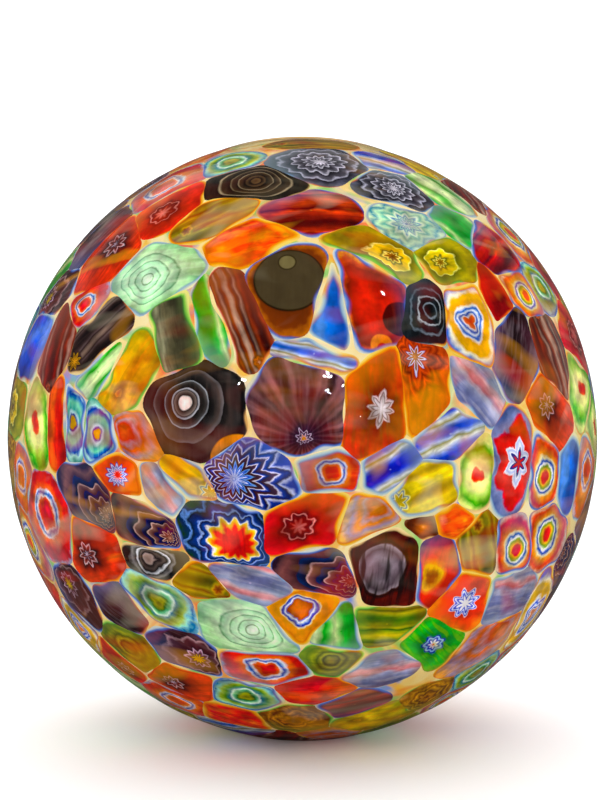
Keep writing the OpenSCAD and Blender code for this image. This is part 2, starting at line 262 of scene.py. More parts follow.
def pressSlices(nodeName, cane):
    # every slice of one cane as one clean mesh, with its own coordinates for the pattern
    verts, faces, caneAt, reachAt, lieAt = [], [], [], [], []
    rng = random.Random(nodeName)
    for out, east, north, rim in spreadSlices[nodeName]:
        middle, along, across, halfLong, halfWide = ownAxes(rim)
        eye = cane.get("eye", (0, 0))
        if "eyeAt" in cane:
            # a slice made on its own: its pattern stands upright
            along, across = np.array([0.0, 1.0]), np.array([-1.0, 0.0])
            pole = middle + np.array(cane["eyeAt"])
        else:
            flip = -1 if rng.random() < cane.get("turned", 0.5) else 1
            pole = middle + along * eye[0] * halfLong * flip + across * eye[1] * halfWide
        seed = rng.uniform(0, 60)
        sunk = rng.random() * sliceShape["sunk"]
        slicePlaces.append((out, (halfLong * halfWide) ** 0.5))
        rings = [pole[None]] + [pole + (rim - pole) * s for s in sliceRings]
        flat = np.concatenate(rings)
        # rings of pattern are round at the eye and take the slice's own outline towards the rim
        like = (halfLong / halfWide) ** 0.14
        oval = np.hypot((rim - pole) @ along / like, (rim - pole) @ across * like)
        oval = np.clip(oval / oval.mean(), 0.55, 1.3)
        rho = np.concatenate([[0]] + [s * ((1 - s * s) * oval + s * s) for s in sliceRings])
        edge = rimDistance(flat, rim)
        fall = np.clip(1 - edge / sliceShape["edgeRound"], 0, 1) ** 2 * sliceShape["edgeDrop"] + sunk
        first = len(verts)
        count = len(rim)
        for (x, y), drop in zip(flat, fall):
            side = math.hypot(x, y)
            up = math.sqrt((layerRadius / mm) ** 2 - side ** 2)
            spoke = (east * float(x) + north * float(y) + out * up).normalized()
            verts.append(ballCentre + spoke * (layerRadius - float(drop) * mm))
        for x, y in rim:
            up = math.sqrt((layerRadius / mm) ** 2 - x * x - y * y) - sliceShape["depth"]
            verts.append(ballCentre + (east * float(x) + north * float(y) + out * up) * mm)
        verts.append(ballCentre + (out * (layerRadius / mm - sliceShape["depth"])
                                   + east * float(pole[0]) + north * float(pole[1])) * mm)
        last = len(verts) - 1
        for k in range(count):
            n = (k + 1) % count
            faces.append((first, first + 1 + k, first + 1 + n))
            for step in range(len(sliceRings)):
                a = first + 1 + step * count
                faces.append((a + k, a + count + k, a + count + n, a + n))
            a = first + 1 + len(sliceRings) * count
            faces.append((a + k, last, a + n))
        every = np.concatenate([flat, rim, pole[None]])
        turned = np.stack([(every - pole) @ along, (every - pole) @ across, np.full(len(every), seed)], 1)
        lie = np.stack([(every - middle) @ along / halfLong, (every - middle) @ across / halfWide,
                        np.full(len(every), halfLong)], 1)
        rho = np.concatenate([rho, np.ones(count + 1)])
        edge = np.concatenate([edge, np.zeros(count + 1)])
        caneAt.append(turned)
        lieAt.append(lie)
        reachAt.append(np.stack([rho, edge, np.full(len(every), seed)], 1))
    mesh = bpy.data.meshes.new(nodeName + "_glass")
    mesh.from_pydata(verts, [], faces)
    for name, values in (("cane", caneAt), ("reach", reachAt), ("lie", lieAt)):
        layer = mesh.attributes.new(name, "FLOAT_VECTOR", "POINT")
        layer.data.foreach_set("vector", np.concatenate(values).astype(np.float32).ravel())
    mesh.shade_smooth()
    mesh.materials.append(caneGlass(cane))
    placeGlass(nodeName, mesh)


def caneGlass(cane):
    # cut and fused cane: the pattern that was pulled into the rod, streaks where the colours thinned,
    # and a soft fringe where the hot slice bled into its neighbours. It lies inside clear glass, so it
    # has no shine of its own: the casing gives that.
    material, tree = newMaterial(cane["name"])
    at = add(tree, "Attribute", {"attribute_name": "cane"}).outputs["Vector"]
    reach, lie = (add(tree, "SeparateXYZ", {}, {0: add(
        tree, "Attribute", {"attribute_name": name}).outputs["Vector"]}) for name in ("reach", "lie"))
    rho, edge, seed = reach.outputs[0], reach.outputs[1], reach.outputs[2]

    # the hot glass wandered: coordinates shift by up to "wobble" mm over some 6 mm
    drift = add(tree, "TexNoise", {"Scale": 0.15, "Detail": 1.5}, {"Vector": at})
    wobble = cane.get("wobble", 1.6)
    shift = add(tree, "VectorMath", {"operation": "SUBTRACT", 1: (0.5, 0.5, 0.5)},
                {0: drift.outputs["Color"]})
    moved = add(tree, "VectorMath", {"operation": "SCALE", "Scale": wobble}, {0: shift.outputs[0]})
    warped = add(tree, "VectorMath", {"operation": "ADD"}, {0: at, 1: moved.outputs[0]})
    place = add(tree, "SeparateXYZ", {}, {0: warped.outputs[0]})

    # petals: the radius swings in and out with the angle
    theta = add(tree, "Math", {"operation": "ARCTAN2"}, {0: place.outputs[1], 1: place.outputs[0]})
    turn = add(tree, "Math", {"operation": "MULTIPLY_ADD", 1: cane.get("petals", 0)},
               {0: theta.outputs[0], 2: seed})
    wave = add(tree, "Math", {"operation": "SINE"}, {0: turn.outputs[0]})
    if cane.get("pointed"):
        wave = add(tree, "Math", {"operation": "ARCSINE"}, {0: wave.outputs[0]})
    grip = add(tree, "MapRange", {"From Max": 0.12, "To Max": cane.get("depth", 0.0)}, {"Value": rho})
    scallop = add(tree, "Math", {"operation": "MULTIPLY_ADD"},
                  {0: wave.outputs[0], 1: grip.outputs[0], 2: rho})
    grain = add(tree, "TexNoise", {"Scale": 0.55, "Detail": 2.0}, {"Vector": at})    # bands have soft edges
    soft = cane.get("blur", 0.16)
    blur = add(tree, "Math", {"operation": "MULTIPLY_ADD", 1: soft, 2: -soft / 2}, {0: grain.outputs["Fac"]})
    sway = add(tree, "Math", {"operation": "MULTIPLY_ADD", 1: 0.11 * wobble},
               {0: drift.outputs["Fac"], 2: blur.outputs[0]})
    level = add(tree, "Math", {"operation": "SUBTRACT", 1: 0.055 * wobble}, {0: sway.outputs[0]})
    radial = add(tree, "Math", {"operation": "ADD"}, {0: scallop.outputs[0], 1: level.outputs[0]})
    scaled = add(tree, "Math", {"operation": "MULTIPLY", 1: 1 / cane.get("size", 1.0)},
                 {0: radial.outputs[0]})
    colour = add(tree, "ValToRGB", {"stops": cane["bands"]}, {0: scaled.outputs[0]}).outputs[0]

    # stripes: a rod on its side shows its cane's ribs as lines along it, away from its cut end
    if "stripes" in cane:
        cross = add(tree, "Math", {"operation": "MULTIPLY", 1: 0.96}, {0: lie.outputs[1]})
        side = add(tree, "Math", {"operation": "ARCSINE"}, {0: cross.outputs[0]})
        ribs = add(tree, "Math", {"operation": "MULTIPLY_ADD", 1: cane.get("ribs", 3)},
                   {0: side.outputs[0], 2: add(tree, "Math", {"operation": "MULTIPLY_ADD", 1: 1.6},
                                               {0: drift.outputs["Fac"], 2: seed}).outputs[0]})
        swell = add(tree, "Math", {"operation": "SINE"}, {0: ribs.outputs[0]})
        level = add(tree, "Math", {"operation": "MULTIPLY_ADD", 1: 0.5, 2: 0.5}, {0: swell.outputs[0]})
        lines = add(tree, "ValToRGB", {"stops": cane["stripes"]}, {0: level.outputs[0]}).outputs[0]
        away = add(tree, "VectorMath", {"operation": "LENGTH"}, {0: add(
            tree, "VectorMath", {"operation": "MULTIPLY", 1: (1, 1, 0)}, {0: warped.outputs[0]}).outputs[0]})
        flowerEnd = cane.get("flowerEnd", 0.0)
        past = add(tree, "MapRange", {"interpolation_type": "SMOOTHSTEP", "From Min": flowerEnd - 0.3,
                                      "From Max": flowerEnd + 0.5}, {"Value": away.outputs["Value"]})
        if flowerEnd:
            near = add(tree, "Math", {"operation": "DIVIDE", 1: flowerEnd}, {0: away.outputs["Value"]})
            flower = add(tree, "Math", {"operation": "MULTIPLY_ADD", 1: 2.5 * cane.get("depth", 0.0)},
                         {0: wave.outputs[0], 2: near.outputs[0]})
            colour = add(tree, "ValToRGB", {"stops": cane["bands"]}, {0: flower.outputs[0]}).outputs[0]
        colour = add(tree, "Mix", {"data_type": "RGBA"},
                     {"Factor": past.outputs[0], 6: colour, 7: lines}).outputs[2]

    # rays: ribs seen fanning out from the eye
    for count, rayHex, amount in cane.get("rays", []):
        fan = add(tree, "Math", {"operation": "MULTIPLY_ADD", 1: count},
                  {0: theta.outputs[0], 2: add(tree, "Math", {"operation": "MULTIPLY", 1: 5.0},
                                               {0: drift.outputs["Fac"]}).outputs[0]})
        ray = add(tree, "Math", {"operation": "SINE"}, {0: fan.outputs[0]})
        level = add(tree, "MapRange", {"From Min": -0.4, "From Max": 1.0, "To Max": amount},
                    {"Value": ray.outputs[0]})
        strength = add(tree, "Math", {"operation": "MULTIPLY"}, {0: level.outputs[0], 1: rho})
        colour = add(tree, "Mix", {"data_type": "RGBA", 7: linear(rayHex)},
                     {"Factor": strength.outputs[0], 6: colour}).outputs[2]

    # spots: a second bit of cane seen through the first, by place and radius in mm
    for x, y, radius, spotHex, amount in cane.get("spots", []):
        off = add(tree, "VectorMath", {"operation": "SUBTRACT", 1: (x, y, 0)}, {0: add(
            tree, "VectorMath", {"operation": "MULTIPLY", 1: (1, 1, 0)}, {0: warped.outputs[0]}).outputs[0]})
        far = add(tree, "VectorMath", {"operation": "LENGTH"}, {0: off.outputs[0]})
        inside = add(tree, "MapRange", {"interpolation_type": "SMOOTHSTEP", "From Min": radius + 0.25,
                                        "From Max": radius - 0.25, "To Max": amount},
                     {"Value": far.outputs["Value"]})
        colour = add(tree, "Mix", {"data_type": "RGBA", 7: linear(spotHex)},
                     {"Factor": inside.outputs[0], 6: colour}).outputs[2]

    # streaks: long thin veils where the cane was drawn out, about 1 mm apart and 8 mm long
    veilHex, veilAmount = cane.get("veil", ("#FFFFFF", 0.0))
    if veilAmount:
        drawn = add(tree, "VectorMath", {"operation": "MULTIPLY", 1: (0.12, 0.95, 1.0)},
                    {0: warped.outputs[0]})
        threads = add(tree, "TexNoise", {"Scale": 0.9, "Detail": 1.5}, {"Vector": drawn.outputs[0]})
        thin = add(tree, "MapRange", {"From Min": 0.46, "From Max": 0.66, "To Max": veilAmount},
                   {"Value": threads.outputs["Fac"]})
        colour = add(tree, "Mix", {"data_type": "RGBA", 7: linear(veilHex)},
                     {"Factor": thin.outputs[0], 6: colour}).outputs[2]

    # cloud: colour is deeper here and thinner there, over some 5 mm, and a little different in each slice
    cloud = add(tree, "TexNoise", {"Scale": 0.20, "Detail": 3.0}, {"Vector": add(
        tree, "VectorMath", {"operation": "ADD", 1: (40, 7, 3)}, {0: at}).outputs[0]})
    thinning = cane.get("cloud", 0.4)
    deep = add(tree, "MapRange", {"From Min": 0.3, "From Max": 0.7, "To Min": 1.08 - thinning,
                                  "To Max": 1.08 + thinning}, {"Value": cloud.outputs["Fac"]})
    batch = add(tree, "TexNoise", {"noise_dimensions": "1D", "Scale": 3.7}, {"W": seed})
    tint = add(tree, "MapRange", {"From Min": 0.25, "From Max": 0.75, "To Min": 0.475, "To Max": 0.525},
               {"Value": batch.outputs["Fac"]})
    colour = add(tree, "HueSaturation", {"Saturation": cane.get("saturation", 1.3)},
                 {"Hue": tint.outputs[0], "Value": deep.outputs[0], "Color": colour}).outputs[0]
    colour = add(tree, "Gamma", {"Gamma": 1.25}, {"Color": colour}).outputs[0]      # thick glass is deeper

    # smears: thin glass dragged over several slices as the bowl was turned, in bands some 12 mm wide
    whole = add(tree, "VectorMath", {"operation": "MULTIPLY", 1: (1.0, 1.0, 2.2)},
                {0: add(tree, "TexCoord").outputs["Object"]})
    for k, (smearHex, amount) in enumerate(smears):
        aside = add(tree, "VectorMath", {"operation": "ADD", 1: (0.37 * k, 0.11 * k, 0.23 * k)},
                    {0: whole.outputs[0]})
        drag = add(tree, "TexNoise", {"Scale": 24.0, "Detail": 2.0, "Distortion": 1.4},
                   {"Vector": aside.outputs[0]})
        most = amount * cane.get("smeared", 1)
        film = add(tree, "MapRange", {"From Min": 0.55, "From Max": 0.66, "To Max": most},
                   {"Value": drag.outputs["Fac"]})
        colour = add(tree, "Mix", {"data_type": "RGBA", 7: linear(smearHex)},
                     {"Factor": film.outputs[0], 6: colour}).outputs[2]

    # one side of a slice is thinner, and the fringe's colour comes through it
    facing = add(tree, "Math", {"operation": "MULTIPLY_ADD", 1: 3.0}, {0: seed, 2: theta.outputs[0]})
    thinSide = add(tree, "Math", {"operation": "COSINE"}, {0: facing.outputs[0]})
    sheer = add(tree, "MapRange", {"From Min": 0.2, "From Max": 1.0, "To Max": cane.get("sheer", 0.3)},
                {"Value": thinSide.outputs[0]})
    reachOut = add(tree, "MapRange", {"interpolation_type": "SMOOTHSTEP", "From Min": 0.35}, {"Value": rho})
    cast = add(tree, "Math", {"operation": "MULTIPLY"}, {0: sheer.outputs[0], 1: reachOut.outputs[0]})
    colour = add(tree, "Mix", {"data_type": "RGBA", 7: linear(cane.get("fringe", ivoryFringe)[1])},
                 {"Factor": cast.outputs[0], 6: colour}).outputs[2]

    # fringe: at the rim the slice bleeds to its fringe colours and then to the ivory
    width = cane.get("fringeWidth", 1.1)
    ragged = add(tree, "Math", {"operation": "MULTIPLY_ADD", 1: 4.0, 2: -1.7}, {0: add(
        tree, "TexNoise", {"Scale": 0.13, "Detail": 0.0}, {"Vector": at}).outputs["Fac"]})
    inward = add(tree, "Math", {"operation": "ADD"}, {0: edge, 1: ragged.outputs[0]})
    level = add(tree, "MapRange", {"From Min": -0.1, "From Max": 0.2 + width}, {"Value": inward.outputs[0]})
    own, fire = (add(tree, "ValToRGB", {"stops": [(i / 2.6, h) for i, h in enumerate(fringeHexes)]},
                     {0: level.outputs[0]}).outputs[0]
                 for fringeHexes in (cane.get("fringe", ivoryFringe), yellowFringe))
    hot = add(tree, "TexNoise", {"Scale": 0.075, "Detail": 1.0}, {"Vector": at})     # 13 mm of rim at a time
    burn = add(tree, "MapRange", {"From Min": 0.50, "From Max": 0.60, "To Max": cane.get("fire", 0.9)},
               {"Value": hot.outputs["Fac"]})
    fringe = add(tree, "Mix", {"data_type": "RGBA"},
                 {"Factor": burn.outputs[0], 6: own, 7: fire}).outputs[2]
    cover = add(tree, "MapRange", {"interpolation_type": "SMOOTHSTEP", "From Min": 0.45, "To Min": 1.0,
                                   "To Max": 0.0}, {"Value": level.outputs[0]})
    colour = add(tree, "Mix", {"data_type": "RGBA"},
                 {"Factor": cover.outputs[0], 6: colour, 7: fringe}).outputs[2]

    glow = cane.get("glow", 0.10)          # painted glow: emission that stands in for light coming through the wall from behind
    shade = add(tree, "BsdfPrincipled",
                {"Roughness": 0.9, "Specular IOR Level": 0.0, "Emission Strength": glow},
                {"Base Color": colour, "Emission Color": colour})
    add(tree, "OutputMaterial", {}, {"Surface": shade.outputs[0]})
    return material


# fringe colours, from the rim inwards
ivoryFringe = ["#F9E0A0", "#F0CC88", "#D8A460"]
blueFringe = ["#D8DED8", "#5A84D4", "#1C3CA0"]
paleFringe = ["#F0E6B4", "#A8C4D0", "#5A86C0"]
yellowFringe = ["#FAD860", "#F4A800", "#E04C00"]
greenFringe = ["#EEE880", "#88CC48", "#1E8C28"]
redFringe = ["#F8B430", "#EE5A04", "#D01800"]

# colours dragged over the whole bowl, and how strongly
smears = [("#5A2012", 0.50), ("#F0A000", 0.42), ("#F6ECC8", 0.20), ("#DC2800", 0.40)]

# A cane's dictionary: "bands" run from its eye (0) to the rim (1). "stripes" repeat across a rod on its side,
# from "flowerEnd" mm off its eye. "eye" is where the eye lies, in half sizes, and "eyeAt" the same in mm to
# the right and up. "petals", "depth" and "pointed" shape a flower and "size" scales it. "wobble" is how many
# mm the pattern wanders. "rays" are (how many, colour, strength), "spots" are (mm up, mm left, radius,
# colour, strength), and "veil" is the streaks. "fire" is how strongly stretches of the rim burnt yellow.
# glow is a painted glow: emission that stands in for light coming through the wall from behind

# slices that were made on their own
darkEyeHexagon = {
    "name": "aubergineCaneRingedCutAndFused",   # near-black rings round a clear pinkish eye, with thin painted highlights on the rings
    # the thin pale bands at 0.28 and 0.44 are painted highlights on the rings' relief
    "bands": [(0, "#F6E8E4"), (0.12, "#EAD6D0"), (0.145, "#15100E"), (0.19, "#6A5A54"), (0.225, "#8A7C76"),
              (0.24, "#1E1816"), (0.28, "#C8C8CE"), (0.295, "#12100F"), (0.37, "#3A3634"), (0.42, "#5E5A5A"),
              (0.44, "#B4B8BE"), (0.455, "#161414"), (0.56, "#383434"), (0.64, "#5A4E4A"), (0.69, "#787274"),
              (0.705, "#1A1818"), (0.80, "#463C3A"), (0.90, "#3C3838"), (0.945, "#121216"), (1, "#26282C")],
    "eyeAt": (-2.4, 2.2), "petals": 3, "depth": 0.006, "wobble": 0.5, "veil": ("#6E5C54", 0.2), "sheer": 0.0,
    "fringe": ["#E8B060", "#6A4634", "#1E1A1C"], "fringeWidth": 0.5, "glow": 0.02, "fire": 0.2, "blur": 0.03,
    "spots": [(-14.5, -12.5, 6.5, "#F49A10", 0.9), (-16.5, -14.0, 6.0, "#E8480C", 0.7)], "smeared": 0.2,
    "saturation": 1.1,
}
pressSlices("dark_eye_hexagon", darkEyeHexagon)

purpleFan = {
    "name": "amethystCaneLaidOnItsSide",        # ribs fan out from a small yellow flower
    "bands": [(0, "#F0B428"), (0.045, "#E08A28"), (0.06, "#E8DCF0"), (0.075, "#3A1E34"), (0.11, "#5E3A58"),
              (0.125, "#E4D4E8"), (0.145, "#34183A"), (0.3, "#522838"), (0.5, "#743E46"), (0.7, "#86524E"),
              (0.85, "#8E6462"), (1, "#7C6670")],
    "eyeAt": (1.6, -7.6), "petals": 9, "depth": 0.022, "pointed": True, "wobble": 1.0, "sheer": 0.0,
    "rays": [(15, "#22101C", 0.9), (23, "#C89CA0", 0.35), (41, "#3A1A24", 0.4)], "veil": ("#A08A90", 0.15),
    "fringe": blueFringe, "fringeWidth": 0.8, "glow": 0.03, "fire": 0.4, "smeared": 0.3,
}
pressSlices("purple_fan", purpleFan)

khakiCone = {
    "name": "khakiOpaqueCane",                  # a flat, dense olive brown disc with one pale dot
    "bands": [(0, "#6A3418"), (0.5, "#70361A"), (0.85, "#8A4420"), (1, "#D08038")],
    "eyeAt": (0.0, 0.0), "wobble": 0.4, "veil": ("#3E3218", 0.1), "sheer": 0.0,
    "spots": [(1.8, 0.0, 8.9, "#2E2614", 1), (1.9, 0.0, 8.5, "#5A5040", 1), (6.9, 0.6, 2.3, "#2E2614", 1),
              (6.9, 0.6, 2.0, "#8A8064", 1)],
    "fringe": blueFringe, "fringeWidth": 1.0, "glow": 0.02, "cloud": 0.12, "fire": 0.2, "smeared": 0.35,
}
pressSlices("khaki_cone", khakiCone)

redGreyStar = {
    "name": "redCaneWithGreyStar",              # a smoky star in red that thins to orange at the rim
    "size": 1.3,
    "bands": [(0, "#E8E4E8"), (0.12, "#D0C8CC"), (0.16, "#8A7A7C"), (0.20, "#E0D4D4"), (0.25, "#8A4A3A"),
              (0.42, "#A85A2E"), (0.62, "#C8561F"), (0.78, "#E8501A"), (0.92, "#F4801E"), (1, "#F8C048")],
    "eyeAt": (1.4, -1.5), "petals": 8, "depth": 0.05, "pointed": True, "veil": ("#8A7A62", 0.45),
    "rays": [(11, "#B03018", 0.5)], "fringe": yellowFringe, "fringeWidth": 1.4, "smeared": 0.35,
}
pressSlices("red_grey_star", redGreyStar)

orangeStarRod = {
    "name": "orangeCaneWithWhiteStar",          # a white star above brown and orange arcs
    "bands": [(0, "#C88A50"), (0.11, "#8A5A4A"), (0.15, "#F6F0F8"), (0.19, "#B8C0E0"), (0.23, "#A8382A"),
              (0.36, "#D84A22"), (0.46, "#8A3228"), (0.58, "#E05424"), (0.70, "#8A3A30"), (0.84, "#E05A2A"),
              (1, "#C04A2A")],
    "eyeAt": (-2.0, 6.0), "petals": 9, "depth": 0.075, "pointed": True, "veil": ("#6A3A34", 0.35),
    "fringe": yellowFringe, "fringeWidth": 1.2,
}
pressSlices("orange_star_rod", orangeStarRod)

redBlock = {
    "name": "rubyCaneThick",                    # deep clear red over yellow, with a dark disc at its right
    "bands": [(0, "#E80C14"), (0.4, "#DC0E14"), (0.6, "#C01418"), (0.8, "#9A2A20"), (0.9, "#D8501E"),
              (1, "#F8B830")],
    "eyeAt": (1.5, -3.0), "wobble": 1.2, "rays": [(5, "#7A2A22", 0.5)], "veil": ("#A84A3A", 0.25),
    "sheer": 0.2,
    "spots": [(-2.4, -5.6, 4.6, "#2E0E12", 0.9), (-9.5, -0.5, 2.8, "#F89010", 0.95),
              (-10.2, -0.6, 1.3, "#E02010", 1)],
    "fringe": blueFringe, "fringeWidth": 1.3, "smeared": 0.35,
}
pressSlices("red_block", redBlock)

blackSwirlBead = {
    "name": "blackCaneWithWhiteSwirl",          # thin grey-white lines curl through black
    "bands": [(0, "#0E1214"), (0.18, "#12171A"), (0.23, "#A8B2BA"), (0.27, "#151B1E"), (0.42, "#1A2024"),
              (0.47, "#D0D6DA"), (0.52, "#232B30"), (0.66, "#12171A"), (0.72, "#7C868E"), (0.77, "#171C20"),
              (1, "#1E2529")],
    "eyeAt": (1.2, 0.4), "wobble": 2.4, "veil": ("#3A444A", 0.4),
    "fringe": ["#FBEBC4", "#5A6A7A", "#1C2326"], "fringeWidth": 0.6, "glow": 0.0, "smeared": 0.35,
}
pressSlices("black_swirl_bead", blackSwirlBead)

brownWindow = {
    "name": "brownCaneWithGreyHeart",           # a smoky grey window in a dark red-brown frame
    "bands": [(0, "#8A7C84"), (0.30, "#9C9098"), (0.50, "#6E6068"), (0.60, "#A4989E"), (0.63, "#5A3A34"),
              (0.66, "#2A0C08"), (0.74, "#6A2418"), (0.9, "#54180F"), (1, "#8A3424")],
    "eyeAt": (-2.2, 0.4), "petals": 4, "depth": 0.03, "wobble": 1.5, "veil": ("#1E1618", 0.85), "sheer": 0.0,
    "fringe": ivoryFringe, "fringeWidth": 0.6, "glow": 0.05, "smeared": 0.2, "blur": 0.05,
}
pressSlices("brown_window", brownWindow)

blueSunburst = {
    "name": "navyCaneSunburst",                 # white zigzags between cobalt and brown rings
    "bands": [(0, "#FAFAFE"), (0.08, "#5E86D8"), (0.12, "#F6F8FE"), (0.20, "#2A5CC8"), (0.30, "#A8C4F0"),
              (0.34, "#38242C"), (0.46, "#5A343A"), (0.50, "#F0ECF4"), (0.54, "#2A50B4"), (0.61, "#3A2630"),
              (0.70, "#5E3A40"), (0.74, "#EAE6F2"), (0.78, "#2C50B0"), (0.87, "#3A2630"), (0.92, "#D8DAEE"),
              (1, "#2244A8")],
    "eyeAt": (-4.5, -0.6), "petals": 14, "depth": 0.075, "pointed": True, "wobble": 1.0, "sheer": 0.3,
    "fringe": blueFringe, "fringeWidth": 0.9, "veil": ("#2A2A4A", 0.15), "fire": 0.4, "smeared": 0.35,
}
pressSlices("blue_sunburst", blueSunburst)

redNavyRosette = {
    "name": "redCaneNavyRosette",               # red heart, yellow and white scallops, navy outside
    "bands": [(0, "#F61C0A"), (0.36, "#F8400C"), (0.43, "#FAB018"), (0.49, "#FCE048"), (0.525, "#FCF8EC"),
              (0.565, "#4A66B4"), (0.65, "#16204C"), (0.685, "#B4C4EC"), (0.73, "#24408C"), (0.84, "#1A2830"),
              (0.90, "#8CA4D4"), (0.93, "#1E3868"), (1, "#25482E")],
    "eyeAt": (3.0, -2.6), "petals": 12, "depth": 0.06, "wobble": 1.8, "veil": ("#1E2A30", 0.25), "sheer": 0.2,
    "fringe": blueFringe, "fringeWidth": 1.0, "fire": 0.5, "smeared": 0.3,
}
pressSlices("red_navy_rosette", redNavyRosette)

redRingStar = {
    "name": "redCaneRingWithStar",              # red ring, a white and blue star, a red heart
    "bands": [(0, "#E81624"), (0.10, "#D81C2C"), (0.14, "#2A489E"), (0.19, "#34509E"), (0.22, "#F6F6FC"),
              (0.34, "#C8D0EC"), (0.40, "#F4F0F6"), (0.45, "#E80C16"), (0.70, "#D80A10"), (0.76, "#E04050"),
              (0.84, "#98A0C0"), (1, "#6A7AA0")],
    "eyeAt": (2.0, 0.0), "petals": 6, "depth": 0.07, "pointed": True, "fringe": paleFringe, "smeared": 0.4,
}
pressSlices("red_ring_star", redRingStar)

darkRingDisc = {
    "name": "darkOliveCaneTurned",              # olive black with fine turned rings, like a record
    "bands": [(0, "#6A5442"), (0.10, "#7C6650"), (0.14, "#241C18"), (0.22, "#6A5846"), (0.26, "#1C1612"),
              (0.38, "#5A4A3A"), (0.41, "#A89C86"), (0.43, "#1E1814"), (0.54, "#54463A"), (0.57, "#948872"),
              (0.59, "#1A1512"), (0.74, "#4A3E30"), (0.78, "#B8AC94"), (0.81, "#17130F"), (0.92, "#2E2820"),
              (1, "#14110E")],
    "eyeAt": (1.0, 0.6), "wobble": 0.15, "blur": 0.02, "veil": ("#6A5E4E", 0.15), "sheer": 0.0,
    "fringe": ["#FBE6B0", "#A89A50", "#3A3220"], "fringeWidth": 0.5, "glow": 0, "fire": 0.1, "smeared": 0.15,
}
pressSlices("dark_ring_disc", darkRingDisc)

orangeSquareEye = {
    "name": "orangeCaneSquareEye",              # orange with a white and blue square round its heart
    "bands": [(0, "#F2641E"), (0.22, "#E8501A"), (0.33, "#B8402A"), (0.37, "#8AA0D4"), (0.41, "#F6F4F4"),
              (0.47, "#88B0DC"), (0.53, "#3A5CB8"), (0.58, "#F8E8C8"), (0.63, "#F08A2E"), (0.85, "#EA7A1E"),
              (1, "#F2A848")],
    "eyeAt": (-0.8, 2.0), "petals": 4, "depth": 0.04, "veil": ("#C8A078", 0.3), "fringe": yellowFringe,
    "smeared": 0.4,
}
pressSlices("orange_square_eye", orangeSquareEye)

redHorseshoe = {
    "name": "redCaneHorseshoe",                 # a brown heart inside yellow, orange and red bows
    "bands": [(0, "#8A5A2A"), (0.18, "#A8702C"), (0.30, "#E0B028"), (0.38, "#F8CC20"), (0.46, "#F48A14"),
              (0.58, "#EE2A10"), (0.78, "#DA200E"), (0.9, "#B42218"), (1, "#7A3434")],
    "eyeAt": (-1.6, -1.4), "petals": 3, "depth": 0.03, "veil": ("#8A3A20", 0.3), "fringe": blueFringe,
}
pressSlices("red_horseshoe", redHorseshoe)

redBlueFlower = {
    "name": "redCaneBlueFlower",                # white heart and blue petals in bright red
    "bands": [(0, "#FAF6F8"), (0.16, "#F8F6FC"), (0.24, "#2450D0"), (0.33, "#F4F8FE"), (0.38, "#2A5AD8"),
              (0.43, "#F8E8E4"), (0.47, "#E83010"), (0.65, "#EC3C0C"), (0.82, "#F04C12"), (1, "#F89030")],
    "eyeAt": (0.2, 0.0), "petals": 8, "depth": 0.09, "fringe": yellowFringe, "fringeWidth": 1.2,
    "smeared": 0.35,
}
pressSlices("red_blue_flower", redBlueFlower)

blackWhitePebble = {
    "name": "blackAndWhiteCaneFolded",          # grey, black and white folded into each other
    "bands": [(0, "#A8928A"), (0.16, "#C4B2AC"), (0.24, "#2A2224"), (0.38, "#6E625E"), (0.48, "#191618"),
              (0.58, "#E8E8EC"), (0.64, "#242022"), (0.76, "#9A9696"), (0.84, "#1A181A"), (1, "#3A383A")],
    "eyeAt": (-1.0, 0.2), "wobble": 6.0, "fringe": ivoryFringe, "fringeWidth": 0.7, "glow": 0.02,
}
pressSlices("black_white_pebble", blackWhitePebble)

amberBead = {
    "name": "amberCaneClear",                   # a clear brown drop, paler in the middle
    "bands": [(0, "#F0C090"), (0.25, "#C87830"), (0.6, "#8A4414"), (0.85, "#6A3010"), (1, "#B0682A")],
    "veil": ("#5A2A10", 0.3), "fringe": ivoryFringe, "fringeWidth": 0.6,
}
pressSlices("amber_bead", amberBead)

# canes that gave many slices
mintRings = {
    "name": "mintCaneRinged",                   # milky green with fine darker rings
    "bands": [(0, "#F4FAEC"), (0.12, "#DFF4DC"), (0.155, "#7FA878"), (0.18, "#CFEED0"), (0.27, "#C4EAC8"),
              (0.30, "#7CAC80"), (0.33, "#D2F0D0"), (0.43, "#BEE6C2"), (0.46, "#82B488"), (0.49, "#D4F0CE"),
              (0.61, "#B4E0B8"), (0.645, "#7CB084"), (0.68, "#CCECC4"), (0.84, "#B0DCA8"), (1, "#8CC494")],
    "eye": (-0.12, -0.1), "turned": 0, "wobble": 1.2, "blur": 0.06, "veil": ("#E8F6D8", 0.35),
    "fringe": paleFringe, "glow": 0.12, "fire": 0.25, "smeared": 0.3, "saturation": 1.1,
}
pressSlices("mint_rings", mintRings)

yellowDaisies = {
    "name": "yellowCaneWithDaisy",              # olive-edged daisies on amber yellow
    "size": 1.6,
    "bands": [(0, "#7A4A14"), (0.06, "#A8741A"), (0.09, "#F4E8A0"), (0.13, "#5A5A30"), (0.18, "#E4BE1C"),
              (0.27, "#F2D030"), (0.31, "#FAF0B0"), (0.34, "#7C7410"), (0.5, "#B8A00E"), (0.75, "#A0940E"),
              (1, "#D0A810")],
    "eye": (0.30, 0.0), "petals": 8, "depth": 0.045, "veil": ("#8A8A10", 0.35), "fringe": greenFringe,
}
pressSlices("yellow_daisies", yellowDaisies)

yellowLeaves = {
    "name": "yellowCaneStreaked",               # egg yellow with orange ribs
    "bands": [(0, "#D8780E"), (0.08, "#F0A010"), (0.11, "#B87814"), (0.3, "#F2C010"), (0.6, "#EAB808"),
              (0.85, "#D8B010"), (1, "#A8A420")],
    "eye": (0.45, 0.0), "rays": [(9, "#E07A10", 0.7)], "veil": ("#B8A020", 0.4), "fringe": greenFringe,
}
pressSlices("yellow_leaves", yellowLeaves)

